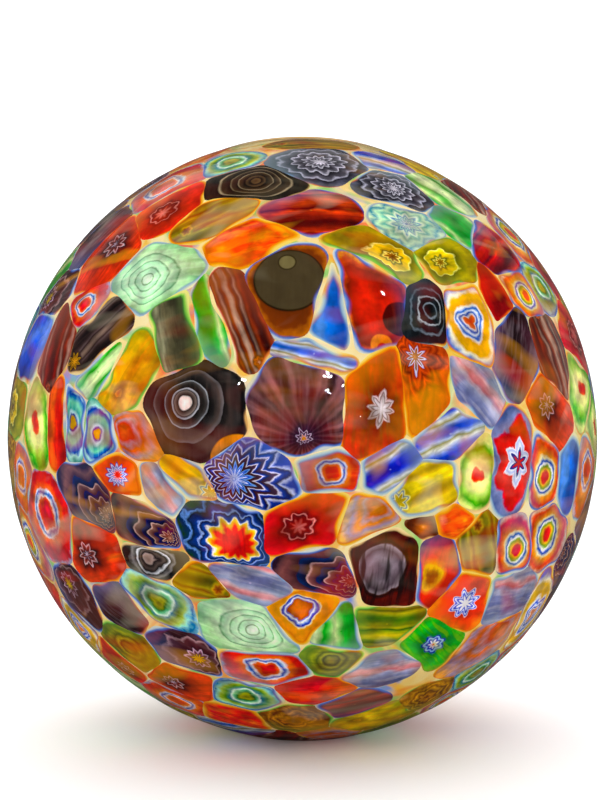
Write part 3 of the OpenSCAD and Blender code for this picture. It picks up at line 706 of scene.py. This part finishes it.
yellowRibbedRods = {
    "name": "yellowCaneRibbedOnItsSide",        # bright ribs that end in a scalloped edge
    "bands": [(0, "#E8C020"), (0.35, "#D8A810"), (0.5, "#F8F0C8"), (0.62, "#7890A8"), (0.75, "#F4E8B0"),
              (0.9, "#D0A818"), (1, "#B89A18")],
    "stripes": [(0, "#B88A10"), (0.35, "#DDAE18"), (0.7, "#F2CE3A"), (1, "#E8C428")],
    "eye": (0.75, 0.0), "flowerEnd": 3.4, "petals": 7, "depth": 0.06, "ribs": 8, "veil": ("#A89A20", 0.3),
    "fringe": paleFringe,
}
pressSlices("yellow_ribbed_rods", yellowRibbedRods)

oliveRods = {
    "name": "oliveCaneOnItsSide",               # brown-cored olive, ribs along it
    "bands": [(0, "#7A3A1E"), (0.4, "#A8622A"), (0.7, "#C8A820"), (1, "#8A8418")],
    "stripes": [(0, "#5E5A12"), (0.35, "#A89A18"), (0.6, "#8A5420"), (0.85, "#B8A424"), (1, "#6E6A16")],
    "eye": (0.6, 0.0), "flowerEnd": 2.2, "petals": 6, "depth": 0.03, "ribs": 4, "veil": ("#6A5A30", 0.4),
    "fringe": yellowFringe,
}
pressSlices("olive_rods", oliveRods)

oliveEyes = {
    "name": "oliveCaneEyed",                    # yellow heart in rings of olive
    "bands": [(0, "#D8B418"), (0.15, "#A8A010"), (0.26, "#4E560E"), (0.36, "#BCB420"), (0.5, "#5E6610"),
              (0.64, "#A8A418"), (0.8, "#6E7412"), (1, "#A8A824")],
    "veil": ("#3A4A14", 0.35), "fringe": greenFringe,
}
pressSlices("olive_eyes", oliveEyes)

oliveVeils = {
    "name": "greyOliveGlassThin",               # smoke-coloured glass with a darker line along it
    "bands": [(0, "#4A4A34"), (0.3, "#6E6A4A"), (0.55, "#8E8A68"), (0.8, "#66644A"), (1, "#4A4C3A")],
    "stripes": [(0, "#55553C"), (0.4, "#7E7A58"), (0.7, "#A0A07E"), (1, "#5A5C42")],
    "ribs": 2, "veil": ("#3A3C30", 0.5), "fringe": greenFringe, "saturation": 1.0, "smeared": 0.35,
}
pressSlices("olive_veils", oliveVeils)

ochreCrackle = {
    "name": "ochreCaneCrackled",                # cream flecks in brown and ochre
    "bands": [(0, "#7A4A1C"), (0.2, "#D0A050"), (0.32, "#7E5424"), (0.45, "#E4C078"), (0.56, "#8A5E28"),
              (0.7, "#D8B060"), (0.82, "#9A7030"), (1, "#C8A04A")],
    "petals": 7, "depth": 0.05, "wobble": 7.0, "veil": ("#4A3418", 0.4), "fringe": greenFringe,
}
pressSlices("ochre_crackle", ochreCrackle)

greenStrips = {
    "name": "greenGlassStrip",                  # clear spring green, paler where it thins
    "bands": [(0, "#3AA83A"), (1, "#7AD07A")],
    "stripes": [(0, "#2E9A34"), (0.25, "#66C46A"), (0.5, "#E2EEBC"), (0.7, "#8ED084"), (0.85, "#4AB04E"),
                (1, "#E8F2C8")],
    "ribs": 2, "veil": ("#7A8A6A", 0.3), "fringe": paleFringe, "smeared": 0.4,
}
pressSlices("green_strips", greenStrips)

greenEyes = {
    "name": "seaGreenCaneEyed",                 # yellow-green heart, milky ring, pale blue rim
    "bands": [(0, "#8A8A18"), (0.14, "#B8B020"), (0.24, "#4A8048"), (0.34, "#8AC8A0"), (0.43, "#E6F2EA"),
              (0.5, "#4A8898"), (0.62, "#6E9A48"), (0.74, "#B8C870"), (0.84, "#A8D8D0"), (0.93, "#4A88B0"),
              (1, "#B8DCE0")],
    "petals": 3, "depth": 0.03, "wobble": 2.6, "veil": ("#C8D8A0", 0.3), "fringe": blueFringe,
}
pressSlices("green_eyes", greenEyes)

greenStripes = {
    "name": "mossCaneOnItsSide",                # moss, yellow and deep green ribs
    "bands": [(0, "#D8C828"), (0.5, "#6A8A18"), (1, "#3A7A28")],
    "stripes": [(0, "#4A7A18"), (0.35, "#B8B424"), (0.6, "#2E6A28"), (0.85, "#9AB02C"), (1, "#D0C830")],
    "ribs": 5, "veil": ("#2A5A30", 0.35), "fringe": greenFringe,
}
pressSlices("green_stripes", greenStripes)

greenBlueFlowers = {
    "name": "greenCaneBlueFlower",              # a small blue flower in grass green
    "size": 1.5,
    "bands": [(0, "#D8304A"), (0.05, "#F4F4FC"), (0.10, "#2A48B0"), (0.17, "#B8DCEC"), (0.21, "#2E58B8"),
              (0.26, "#2E8A3A"), (0.5, "#55B848"), (0.8, "#7ACA58"), (1, "#389048")],
    "petals": 7, "depth": 0.05, "veil": ("#C8C838", 0.35), "fringe": greenFringe,
}
pressSlices("green_blue_flowers", greenBlueFlowers)

tealStars = {
    "name": "tealCaneStar",                     # pale star rays through blue-green
    "bands": [(0, "#2E62A8"), (0.09, "#EEF4F2"), (0.15, "#3A78B0"), (0.24, "#B8DCCC"), (0.32, "#4A8AB4"),
              (0.44, "#E6F0DC"), (0.56, "#72B4A8"), (0.72, "#CCE4C8"), (0.86, "#5A9AA8"), (1, "#D8E4C8")],
    "petals": 10, "depth": 0.06, "pointed": True, "veil": ("#E4ECC8", 0.35), "fringe": paleFringe,
}
pressSlices("teal_stars", tealStars)

blueWhiteVeils = {
    "name": "opalBlueGlassThin",                # milky blue-white wisps with some amber in them
    "bands": [(0, "#D6DEEC"), (1, "#6E90D0")],
    "stripes": [(0, "#3C66C4"), (0.25, "#94ACDC"), (0.5, "#E4E4E0"), (0.7, "#A8A078"), (0.85, "#C8D4EA"),
                (1, "#6488D4")],
    "ribs": 3, "wobble": 4.0, "veil": ("#5A5A4A", 0.35), "fringe": paleFringe,
}
pressSlices("blue_white_veils", blueWhiteVeils)

blueLoops = {
    "name": "blueCaneLooped",                   # blue and white loops round orange, in a yellow border
    "bands": [(0, "#EC661E"), (0.12, "#F29030"), (0.18, "#F8F4F0"), (0.25, "#3460C8"), (0.32, "#F2F6FA"),
              (0.40, "#4A7AD4"), (0.48, "#F4F2EE"), (0.56, "#ECB81E"), (0.72, "#F2C628"), (0.84, "#F8F4E0"),
              (1, "#5E84D0")],
    "petals": 3, "depth": 0.06, "wobble": 3.0, "fringe": yellowFringe,
}
pressSlices("blue_loops", blueLoops)

blueGreenCells = {
    "name": "blueGreenCaneCelled",              # yellow heart, cobalt line, milky green round it
    "bands": [(0, "#ECB81C"), (0.16, "#DCA814"), (0.22, "#2644A4"), (0.30, "#CEE4EA"), (0.42, "#62AEA4"),
              (0.6, "#8ECCB0"), (0.72, "#3E88B8"), (0.80, "#2450AE"), (0.88, "#C6E4DC"), (1, "#68B098")],
    "petals": 3, "depth": 0.02, "veil": ("#C8E4D4", 0.3), "fringe": blueFringe,
}
pressSlices("blue_green_cells", blueGreenCells)

cobaltGlass = {
    "name": "cobaltGlassClear",                 # deep blue, brighter where it thins
    "bands": [(0, "#1C3AA0"), (1, "#3A64D0")],
    "stripes": [(0, "#142C86"), (0.5, "#2348B8"), (0.85, "#4A74DC"), (1, "#8FA8E8")],
    "ribs": 2, "veil": ("#8A9AD0", 0.25), "fringe": paleFringe, "fringeWidth": 1.8, "smeared": 0.35,
}
pressSlices("cobalt_glass", cobaltGlass)

greyFlowers = {
    "name": "greyCaneBigFlower",                # smoke and navy petals with pale outlines
    "bands": [(0, "#E8E4EC"), (0.09, "#C8C4D0"), (0.14, "#3A3644"), (0.23, "#8E8C98"), (0.28, "#D8D6E0"),
              (0.31, "#2A2632"), (0.45, "#6E6C78"), (0.51, "#CFCDDA"), (0.54, "#24222C"), (0.70, "#5E5C66"),
              (0.77, "#B8B8C8"), (0.81, "#26242C"), (1, "#6A6E7E")],
    "petals": 12, "depth": 0.05, "veil": ("#3A3A44", 0.35), "fringe": paleFringe, "saturation": 1.0,
    "smeared": 0.35,
}
pressSlices("grey_flowers", greyFlowers)

lavenderStripes = {
    "name": "lavenderCaneOnItsSide",            # lilac, rose and blue-grey bands
    "bands": [(0, "#C8B8D8"), (1, "#7A78B0")],
    "stripes": [(0, "#6A74A4"), (0.3, "#A0A4C4"), (0.45, "#D07880"), (0.65, "#DC9CA0"), (0.8, "#98A0BC"),
                (1, "#7074A0")],
    "ribs": 2, "veil": ("#E0D8D8", 0.3), "fringe": paleFringe, "saturation": 0.95,
}
pressSlices("lavender_stripes", lavenderStripes)

aubergineOvals = {
    "name": "aubergineGlassClear",              # dark purple-brown with grey light in it
    "bands": [(0, "#66484A"), (0.3, "#4A2E32"), (0.5, "#72565A"), (0.7, "#3C2428"), (1, "#2C1C20")],
    "stripes": [(0, "#2C1A1E"), (0.4, "#4E3238"), (0.7, "#6E5054"), (1, "#8A7478")],
    "ribs": 3, "veil": ("#94868A", 0.45), "fringe": blueFringe, "fringeWidth": 1.1, "glow": 0.03,
}
pressSlices("aubergine_ovals", aubergineOvals)

aubergineFlowers = {
    "name": "aubergineCaneGoldFlower",          # a gold heart and lilac petals in dark purple
    "size": 1.5,
    "bands": [(0, "#E0A028"), (0.07, "#EAC450"), (0.10, "#3A1E2A"), (0.17, "#8A6472"), (0.21, "#D4BCCC"),
              (0.24, "#3E222C"), (0.42, "#6A4448"), (0.48, "#B89CA0"), (0.52, "#3A2028"), (0.75, "#5E3C42"),
              (0.9, "#3A242C"), (1, "#46598E")],
    "eye": (0.35, 0.0), "petals": 10, "depth": 0.045, "pointed": True, "veil": ("#8A7478", 0.3),
    "fringe": blueFringe, "fringeWidth": 1.1, "glow": 0.04,
}
pressSlices("aubergine_flowers", aubergineFlowers)

darkScallopedRods = {
    "name": "plumCaneScalloped",                # rows of pale-edged scales run along a dark rod
    "bands": [(0, "#C89A8C"), (0.08, "#6A4040"), (0.13, "#8A6A64"), (0.16, "#DCC0B8"), (0.18, "#1C1838"),
              (0.27, "#22306A"), (0.29, "#5A3A40"), (0.38, "#8E6C66"), (0.41, "#D4BAB4"), (0.43, "#1A1630"),
              (0.52, "#243270"), (0.54, "#5E3C40"), (0.64, "#8A6862"), (0.67, "#D0B4B0"), (0.69, "#1C1830"),
              (0.79, "#2A3A70"), (0.81, "#583A3E"), (0.92, "#8E6A64"), (1, "#33202E")],
    "eye": (0.72, 0.0), "petals": 11, "depth": 0.05, "wobble": 0.9, "veil": ("#241628", 0.2), "sheer": 0.1,
    "fringe": blueFringe, "fringeWidth": 0.8, "glow": 0.04, "blur": 0.06,
}
pressSlices("dark_scalloped_rods", darkScallopedRods)

darkFlowerRods = {
    "name": "blackCaneGoldEnd",                 # a ribbed dark rod cut to show its gold flower
    "bands": [(0, "#F0C03A"), (0.25, "#E0A020"), (0.42, "#2E2018"), (0.58, "#EAC058"), (0.72, "#2C2022"),
              (1, "#4A3A3A")],
    "stripes": [(0, "#221A1C"), (0.35, "#4A3C3C"), (0.6, "#6E6060"), (0.8, "#3A2C2E"), (1, "#8A7A70")],
    "eye": (0.74, 0.0), "flowerEnd": 3.0, "petals": 8, "depth": 0.07, "pointed": True, "ribs": 6,
    "veil": ("#5A4A44", 0.35), "fringe": ivoryFringe, "fringeWidth": 0.8, "glow": 0.02,
}
pressSlices("dark_flower_rods", darkFlowerRods)

brownRedRods = {
    "name": "rustCaneOnItsSide",                # rust, rose-grey and brown ribs along the rod
    "bands": [(0, "#D8B0A0"), (0.3, "#8A3A2C"), (0.6, "#C86A4A"), (1, "#4A2024")],
    "stripes": [(0, "#3A1A1A"), (0.2, "#962A1C"), (0.4, "#6A443C"), (0.6, "#A48A80"), (0.75, "#5A3A38"),
                (0.9, "#8E3A2C"), (1, "#C0A498")],
    "eye": (0.85, 0.0), "flowerEnd": 1.6, "petals": 7, "depth": 0.05, "ribs": 4, "wobble": 2.0,
    "veil": ("#2A2230", 0.45), "fringe": ["#FBE6B0", "#D05A38", "#7A1E18"], "fringeWidth": 0.7,
    "smeared": 0.3,
}
pressSlices("brown_red_rods", brownRedRods)

orangeFlares = {
    "name": "orangeGlassFlare",                 # hot orange that runs to red and yellow
    "bands": [(0, "#F8B030"), (0.15, "#F4701A"), (0.4, "#EE4A16"), (0.6, "#F4661A"), (0.85, "#EC3E14"),
              (1, "#F8A838")],
    "eye": (0.5, 0.0), "rays": [(6, "#C83410", 0.5)], "wobble": 4.0, "veil": ("#F8A030", 0.5),
    "fringe": yellowFringe, "fringeWidth": 2.0, "glow": 0.14,
}
pressSlices("orange_flares", orangeFlares)

orangeDarkFlowers = {
    "name": "orangeCaneDarkFlower",             # a purple-black flower in orange-red
    "size": 1.7,
    "bands": [(0, "#D0C0D0"), (0.05, "#3A1E26"), (0.12, "#94605C"), (0.15, "#E0C8CC"), (0.18, "#2E1820"),
              (0.28, "#9A3820"), (0.48, "#E4481A"), (0.72, "#DA3A14"), (0.9, "#EA661E"), (1, "#F2A83A")],
    "eye": (0.25, 0.0), "petals": 8, "depth": 0.05, "pointed": True, "veil": ("#8A3A2A", 0.4),
    "fringe": redFringe,
}
pressSlices("orange_dark_flowers", orangeDarkFlowers)

coralStars = {
    "name": "coralCaneStar",                    # red heart in a blue and white star, coral round it
    "size": 1.35,
    "bands": [(0, "#E8281A"), (0.12, "#F04828"), (0.16, "#FAF4FA"), (0.22, "#3656C0"), (0.28, "#F4F0FA"),
              (0.33, "#4A60B8"), (0.37, "#F0684A"), (0.7, "#F2784F"), (0.88, "#D0786A"), (1, "#8A7AA8")],
    "petals": 12, "depth": 0.06, "pointed": True, "fringe": redFringe,
}
pressSlices("coral_stars", coralStars)

coralVeils = {
    "name": "coralAndLilacGlassThin",           # peach and lilac veils over each other
    "bands": [(0, "#F0A468"), (0.25, "#DE7A4C"), (0.45, "#C4A8B0"), (0.6, "#EC9A66"), (0.8, "#A89CB8"),
              (1, "#F4C48A")],
    "eye": (0.4, 0.2), "wobble": 5.0, "veil": ("#A87C64", 0.45), "fringe": yellowFringe,
}
pressSlices("coral_veils", coralVeils)

redEyes = {
    "name": "redCaneEyed",                      # red heart, white and blue rings, orange rim
    "bands": [(0, "#EA2412"), (0.22, "#E23A16"), (0.30, "#F28A34"), (0.36, "#F6F4F2"), (0.43, "#4A70C4"),
              (0.50, "#DCE4F0"), (0.57, "#F29436"), (0.74, "#E04A1E"), (0.9, "#D8482A"), (1, "#B8BCD4")],
    "eye": (0.12, 0.0), "petals": 4, "depth": 0.025, "wobble": 2.4, "veil": ("#F0A060", 0.25),
    "fringe": paleFringe,
}
pressSlices("red_eyes", redEyes)

redPinkFlowers = {
    "name": "redCanePinkFlower",                # a dusky pink flower in fire red, yellow at the rim
    "size": 1.9,
    "bands": [(0, "#D8A098"), (0.09, "#C08078"), (0.12, "#8A4A44"), (0.17, "#6E3030"), (0.195, "#DCA8A0"),
              (0.215, "#7A2A24"), (0.27, "#B83820"), (0.45, "#E02C12"), (0.72, "#EA3A10"), (0.86, "#F48420"),
              (1, "#F8CC48")],
    "eye": (-0.15, 0.0), "turned": 0.3, "petals": 8, "depth": 0.045, "veil": ("#A83A20", 0.3),
    "fringe": yellowFringe, "smeared": 0.6,
}
pressSlices("red_pink_flowers", redPinkFlowers)

redStripedOvals = {
    "name": "crimsonCaneOnItsSide",             # crimson and plum ribs, a lilac edge
    "bands": [(0, "#F0C8A0"), (0.5, "#C83A2C"), (1, "#7A2424")],
    "stripes": [(0, "#6A1E22"), (0.3, "#B82E24"), (0.5, "#DC4E36"), (0.7, "#7A2832"), (1, "#C86A5C")],
    "ribs": 4, "veil": ("#4A2430", 0.35), "fringe": blueFringe, "fringeWidth": 1.7,
}
pressSlices("red_striped_ovals", redStripedOvals)

redStrips = {
    "name": "redGlassStrip",                    # plain strong red, darker along one side
    "bands": [(0, "#C8161E"), (1, "#E8443A")],
    "stripes": [(0, "#A0101C"), (0.5, "#D41E22"), (0.85, "#EA4638"), (1, "#F4885C")],
    "ribs": 2, "veil": ("#7A1420", 0.3), "fringe": redFringe,
}
pressSlices("red_strips", redStrips)

creamGreenBows = {
    "name": "creamCaneGreenEnded",              # cream with a red waist and green ends
    "bands": [(0, "#DA2A1E"), (0.18, "#E8603E"), (0.26, "#F8EEB8"), (0.5, "#EEF2B4"), (0.68, "#B8DC84"),
              (0.85, "#56B04E"), (1, "#E4ECA8")],
    "petals": 2, "depth": 0.08, "wobble": 3.0, "fringe": ivoryFringe, "glow": 0.14,
}
pressSlices("cream_green_bows", creamGreenBows)

teardrops = {
    "name": "redYellowCaneDrop",                # a red drop ringed in yellow, green, white and blue
    "bands": [(0, "#EA2010"), (0.17, "#E84414"), (0.24, "#F8CC1E"), (0.34, "#86A838"), (0.41, "#F8F6F0"),
              (0.48, "#3A5EBC"), (0.57, "#F2EAC4"), (0.68, "#ECA41E"), (0.84, "#E2581A"), (1, "#EADCC4")],
    "eye": (0.12, 0.0), "petals": 2, "depth": 0.02, "wobble": 2.2, "fringe": blueFringe, "smeared": 0.35,
}
pressSlices("teardrops", teardrops)
print("slices pressed:", len(slicePlaces))


def blownMesh(nodeName, rows, around):
    # a turned layer of the wall from its rows of points, closed on the axis, with every face outward
    verts = [point for row in rows for point in row]
    faces = []
    for r in range(len(rows) - 1):
        a, b = r * around, (r + 1) * around
        for k in range(around):
            n = (k + 1) % around
            faces.append((a + k, a + n, b + n, b + k))
    data = bpy.data.meshes.new(nodeName + "_glass")
    data.from_pydata(verts, [], faces)
    mesh = bmesh.new()
    mesh.from_mesh(data)
    bmesh.ops.holes_fill(mesh, edges=[e for e in mesh.edges if e.is_boundary], sides=0)
    bmesh.ops.recalc_face_normals(mesh, faces=mesh.faces)
    mesh.to_mesh(data)
    mesh.free()
    data.shade_smooth()
    return data


def ring(radius, height, around):
    return [Vector((radius * math.sin(2 * math.pi * k / around),
                    -radius * math.cos(2 * math.pi * k / around), height)) for k in range(around)]


# the ivory ground: a blown shell, open at the mouth, closed below, lengths in mm
ground = {
    "around": 256,            # steps round it
    "upward": 110,            # steps from the base to the mouth
    "below": 0.36,            # it lies this far under the tops of the slices
    "shortOfMouth": 0.15,
    "wisps": ("#5E8CE4", "#F6B81C", "#F0661E", "#7CCB64"),        # colour that ran off the slices
    "outside": {"shine": 0.0, "wispScale": 62.0, "wispAmount": 0.85},
    "inside": {"shine": 0.5, "wispScale": 30.0, "wispAmount": 0.22},
}


def ivoryGround():
    steps = ground["upward"]
    outside = layerRadius - ground["below"] * mm
    top = mouthAngle - ground["shortOfMouth"] * mm / layerRadius
    bottom = 0.004 - math.pi / 2
    rows = []
    for radius, order in ((outside, range(steps + 1)), (innerRadius, range(steps, -1, -1))):
        for k in order:
            elevation = bottom + (top - bottom) * k / steps
            rows.append(ring(radius * math.cos(elevation), ballCentre.z + radius * math.sin(elevation),
                             ground["around"]))
    mesh = blownMesh("ivory_ground", rows, ground["around"])
    for polygon in mesh.polygons:
        inside = (polygon.center - ballCentre).length < (outside + innerRadius) / 2
        polygon.material_index = 1 if inside else 0
    mesh.materials.append(ivoryGlass("ivoryOpalGlassUnderCasing", ground["outside"]))
    mesh.materials.append(ivoryGlass("ivoryOpalGlassFirePolished", ground["inside"]))
    placeGlass("ivory_ground", mesh)


def ivoryGlass(name, face):
    # opal glass, blown: a warm cream with a painted glow, emission that stands in for light going into it and
    # coming back out
    material, tree = newMaterial(name)
    at = add(tree, "TexCoord").outputs["Object"]
    clouds = add(tree, "TexNoise", {"Scale": 55.0, "Detail": 4.0}, {"Vector": at})   # 18 mm clouds
    colour = add(tree, "ValToRGB", {"stops": [(0.3, "#F3CF74"), (0.5, "#F8DF9A"), (0.7, "#FCEDBE")]},
                 {0: clouds.outputs["Fac"]}).outputs[0]
    # colour that ran off the slices before they sank in: wisps some 16 mm long, 33 mm inside
    for k, runHex in enumerate(ground["wisps"]):
        moved = add(tree, "VectorMath", {"operation": "ADD", 1: (k * 3.1, k * 1.7, 5.0)}, {0: at})
        wisps = add(tree, "TexNoise", {"Scale": face["wispScale"], "Detail": 2.0, "Distortion": 1.2},
                    {"Vector": moved.outputs[0]})
        amount = add(tree, "MapRange", {"From Min": 0.54, "From Max": 0.66, "To Max": face["wispAmount"]},
                     {"Value": wisps.outputs["Fac"]})
        colour = add(tree, "Mix", {"data_type": "RGBA", 7: linear(runHex)},
                     {"Factor": amount.outputs[0], 6: colour}).outputs[2]
    # painted glow: the emission stands in for light that goes into the opal glass and comes back out
    shade = add(tree, "BsdfPrincipled", {"Roughness": 0.18, "IOR": 1.52, "Specular IOR Level": face["shine"],
                                         "Emission Strength": 0.16},
                {"Base Color": colour, "Emission Color": colour})
    add(tree, "OutputMaterial", {}, {"Surface": shade.outputs[0]})
    return material


ivoryGround()
print("ivory ground blown")


# the clear casing: outside from the CAD arc, with the faint relief that the slices leave, lengths in mm
casing = {
    "around": 384,            # steps round it
    "upward": 176,            # steps from the base to the lip
    "lipSwell": 0.4,          # how far the lip stands proud of each face of the wall
    "lipSteps": 20,
    "lipStart": 2.2,          # the outside ends this far under the mouth, and the lip begins
    "into": 0.9,              # it bites this far into the coloured layer, so no air is trapped
    "insideSteps": 60,
    "insideTop": 1.2,         # its inner face ends this far under the mouth
    "sliceRelief": 0.16,      # swell of the surface over a slice
    "wander": 0.10,           # slow waviness of hand-blown glass
}


def clearCasing():
    around, upward = casing["around"], casing["upward"]
    places = kdtree.KDTree(len(slicePlaces))
    for i, (out, _) in enumerate(slicePlaces):
        places.insert(out, i)
    places.balance()
    baseElevation = -math.atan2(ballCentre.z, baseRadius)
    lipMid = (outerReach(mouthAngle) + innerRadius) / 2
    lipRadius = (outerReach(mouthAngle) - innerRadius) / 2 + casing["lipSwell"] * mm
    rows = [ring(baseRadius * s, 0, around) for s in (0.02, 0.3, 0.6, 0.85, 0.96)]
    joinElevation = mouthAngle - casing["lipStart"] * mm / layerRadius
    for k in range(upward + 1):
        elevation = baseElevation + (joinElevation - baseElevation) * k / upward
        reach = outerReach(elevation)
        fade = min(1, k / 6, (upward - k) / 8)
        points = []
        for p in ring(reach * math.cos(elevation), reach * math.sin(elevation), around):
            way = p.normalized()
            (_, i, gap), = places.find_n(way, 1)
            size = slicePlaces[i][1] * mm / layerRadius
            swell = 1 - min(1, (gap / (size * 1.15)) ** 2)
            wander = (1 + noise.noise(way * 7)) * casing["wander"]         # waves some 14 mm long
            sink = casing["sliceRelief"] * (1 - swell) + wander
            points.append(ballCentre + p - way * sink * mm * fade)
        rows.append(points)
    lip = Vector((lipMid * math.cos(mouthAngle), lipMid * math.sin(mouthAngle)))
    outsideTurn = mouthAngle - math.radians(62)
    for k in range(casing["lipSteps"] + 1):        # round the lip, from the outside over the top
        turn = outsideTurn + math.radians(124 + 180) * k / casing["lipSteps"]
        at = lip + Vector((math.cos(turn), math.sin(turn))) * lipRadius
        rows.append(ring(at.x, ballCentre.z + at.y, around))
    inside = layerRadius - casing["into"] * mm
    top = mouthAngle - casing["insideTop"] * mm / layerRadius
    bottom = 0.01 - math.pi / 2
    for k in range(casing["insideSteps"], -1, -1):  # and back down inside the coloured layer
        elevation = bottom + (top - bottom) * k / casing["insideSteps"]
        rows.append(ring(inside * math.cos(elevation), ballCentre.z + inside * math.sin(elevation), around))
    mesh = blownMesh("clear_casing", rows, around)
    mesh.materials.append(clearGlass())
    placeGlass("clear_casing", mesh)


def clearGlass():
    # soda crystal, blown and fire polished: wet-looking, no grain, a slow ripple over some 9 mm
    material, tree = newMaterial("clearSodaGlassFirePolished")
    at = add(tree, "TexCoord").outputs["Object"]
    ripple = add(tree, "TexNoise", {"Scale": 110.0, "Detail": 1.5}, {"Vector": at})
    bump = add(tree, "Bump", {"Strength": 0.06, "Distance": 0.001}, {"Height": ripple.outputs["Fac"]})
    glass = add(tree, "BsdfPrincipled", {"Roughness": 0.0, "IOR": 1.5, "Transmission Weight": 1.0,
                                         "Base Color": (1, 1, 1, 1)}, {"Normal": bump.outputs[0]})
    add(tree, "OutputMaterial", {}, {"Surface": glass.outputs[0]})
    return material


clearCasing()
print("clear casing gathered")


def paleSweep():
    # a matt paper sweep: flat under the bowl, turned up far behind it
    width, flatEnd, bend, height = 6.0, 2.2, 1.6, 6.0          # metres
    turns = [math.radians(a) for a in range(6, 91, 6)]
    curve = [(flatEnd + bend * math.sin(t), bend - bend * math.cos(t)) for t in turns]
    profile = [(-width, 0.0), (flatEnd, 0.0)] + curve + [(flatEnd + bend, height)]
    verts = [(x, y, z) for y, z in profile for x in (-width, width)]
    faces = [(2 * k, 2 * k + 1, 2 * k + 3, 2 * k + 2) for k in range(len(profile) - 1)]
    mesh = bpy.data.meshes.new("paper_sweep")
    mesh.from_pydata(verts, [], faces)
    mesh.shade_smooth()
    piece = bpy.data.objects.new("paper_sweep", mesh)
    bpy.context.collection.objects.link(piece)
    material, tree = newMaterial("mattWhitePaper")
    # painted shade: seen in the glass, the paper is painted dark grey, as dim as the room round it
    path = add(tree, "LightPath")
    paintedShadeInGlass = add(tree, "Mix", {"data_type": "RGBA", 6: linear("#FAFAFA"), 7: linear("#404040")},
               {"Factor": onlyMirrored(tree, path)})
    shade = add(tree, "BsdfPrincipled", {"Roughness": 0.9, "Specular IOR Level": 0.1},
                {"Base Color": paintedShadeInGlass.outputs[2]})
    add(tree, "OutputMaterial", {}, {"Surface": shade.outputs[0]})
    mesh.materials.append(material)


light = {
    "tentTop": 1.75,          # soft light from the tent, from overhead
    "tentLow": 1.65,          # and from low down
    "backdrop": 1.0,          # the white paper behind the bowl, as it is seen
    "mirroredBack": 0.55,     # how bright the backdrop is in the glass
    "mirroredFront": 0.05,    # and the dark room in front of it
    "glintPower": 0.35,       # small bare bulbs, each a spark on the glass
    "glintSize": 0.014,
    "glintsAt": [(0.62, -0.95, 1.02), (0.62, -0.93, 0.99), (0.20, -1.25, 0.30), (0.23, -1.25, 0.33),
                 (0.24, -1.25, 0.27), (0.42, -1.25, 0.03), (-0.46, -1.2, 0.34), (-0.44, -1.2, 0.36)],
}


def lamp(name, power, size, at):
    data = bpy.data.lights.new(name, "AREA")
    data.shape, data.size, data.energy = "DISK", size, power
    piece = bpy.data.objects.new(name, data)
    piece.location = at
    piece.rotation_euler = (ballCentre - Vector(at)).to_track_quat("-Z", "Y").to_euler()
    piece.visible_transmission = False       # a bulb is only for the spark it leaves on the glass
    piece.visible_diffuse = False
    bpy.context.collection.objects.link(piece)


def onlyMirrored(tree, path):
    # 1 for what a polished face mirrors; light refracted through it counts as neither
    return add(tree, "Math", {"operation": "SUBTRACT", "use_clamp": True},
               {0: path.outputs["Is Glossy Ray"], 1: path.outputs["Is Transmission Ray"]}).outputs[0]


def tent():
    # white all round for lighting; the glass itself mirrors a dark room with a white backdrop behind
    world = bpy.data.worlds.new("tent")
    world.use_nodes = True
    tree = world.node_tree
    tree.nodes.clear()
    path = add(tree, "LightPath")
    way = add(tree, "SeparateXYZ", {}, {0: add(tree, "TexCoord").outputs["Generated"]})
    mirrored = add(tree, "MapRange", {"interpolation_type": "SMOOTHSTEP", "From Min": 0.1, "From Max": 0.8,
                                      "To Min": light["mirroredFront"], "To Max": light["mirroredBack"]},
                   {"Value": way.outputs[1]})
    lit = add(tree, "MapRange", {"From Min": -0.8, "From Max": 0.9, "To Min": light["tentLow"],
                                 "To Max": light["tentTop"]}, {"Value": way.outputs[2]})
    seen = add(tree, "Mix", {}, {0: onlyMirrored(tree, path), 2: lit.outputs[0], 3: mirrored.outputs[0]})
    strength = add(tree, "Mix", {3: light["backdrop"]},
                   {0: path.outputs["Is Camera Ray"], 2: seen.outputs[0]})
    glow = add(tree, "Background", {"Color": (1, 1, 1, 1)}, {"Strength": strength.outputs[0]})
    add(tree, "OutputWorld", {}, {"Surface": glow.outputs[0]})
    return world


def studio():
    paleSweep()
    scene = bpy.context.scene
    scene.world = tent()
    for k, at in enumerate(light["glintsAt"]):
        lamp("glint" + str(k), light["glintPower"], light["glintSize"], at)
    scene.view_settings.view_transform = "Standard"
    # the tent's light reaches the colours by way of the clear glass over them
    scene.cycles.caustics_refractive = True
    scene.cycles.caustics_reflective = False
    scene.cycles.max_bounces = 12
    scene.cycles.transmission_bounces = 12
    scene.cycles.diffuse_bounces = 4
    scene.cycles.use_denoising = True


view = {
    "distance": 2.8,          # from the ball's middle, in bowl radii
    "elevation": -8.0,        # just under mid height, so the mouth and the base stay out of sight
    "acrossFrame": 42.5,      # degrees that the frame's width takes in
    "lookUp": 2.46,           # the bowl sits this many degrees under the middle of the frame
    "lookLeft": 0.15,
}


def camera():
    tilt = math.radians(view["elevation"])
    away = Vector((0, -math.cos(tilt), math.sin(tilt))) * view["distance"] * bowlRadius
    data = bpy.data.cameras.new("camera")
    data.sensor_fit = "HORIZONTAL"
    data.sensor_width = 36
    data.lens = 18 / math.tan(math.radians(view["acrossFrame"]) / 2)
    data.clip_start = 0.005
    piece = bpy.data.objects.new("camera", data)
    piece.location = ballCentre + away
    piece.rotation_euler = (math.pi / 2 - tilt + math.radians(view["lookUp"]), 0,
                            math.radians(view["lookLeft"]))
    bpy.context.collection.objects.link(piece)
    bpy.context.scene.camera = piece


studio()
camera()
print("studio set")
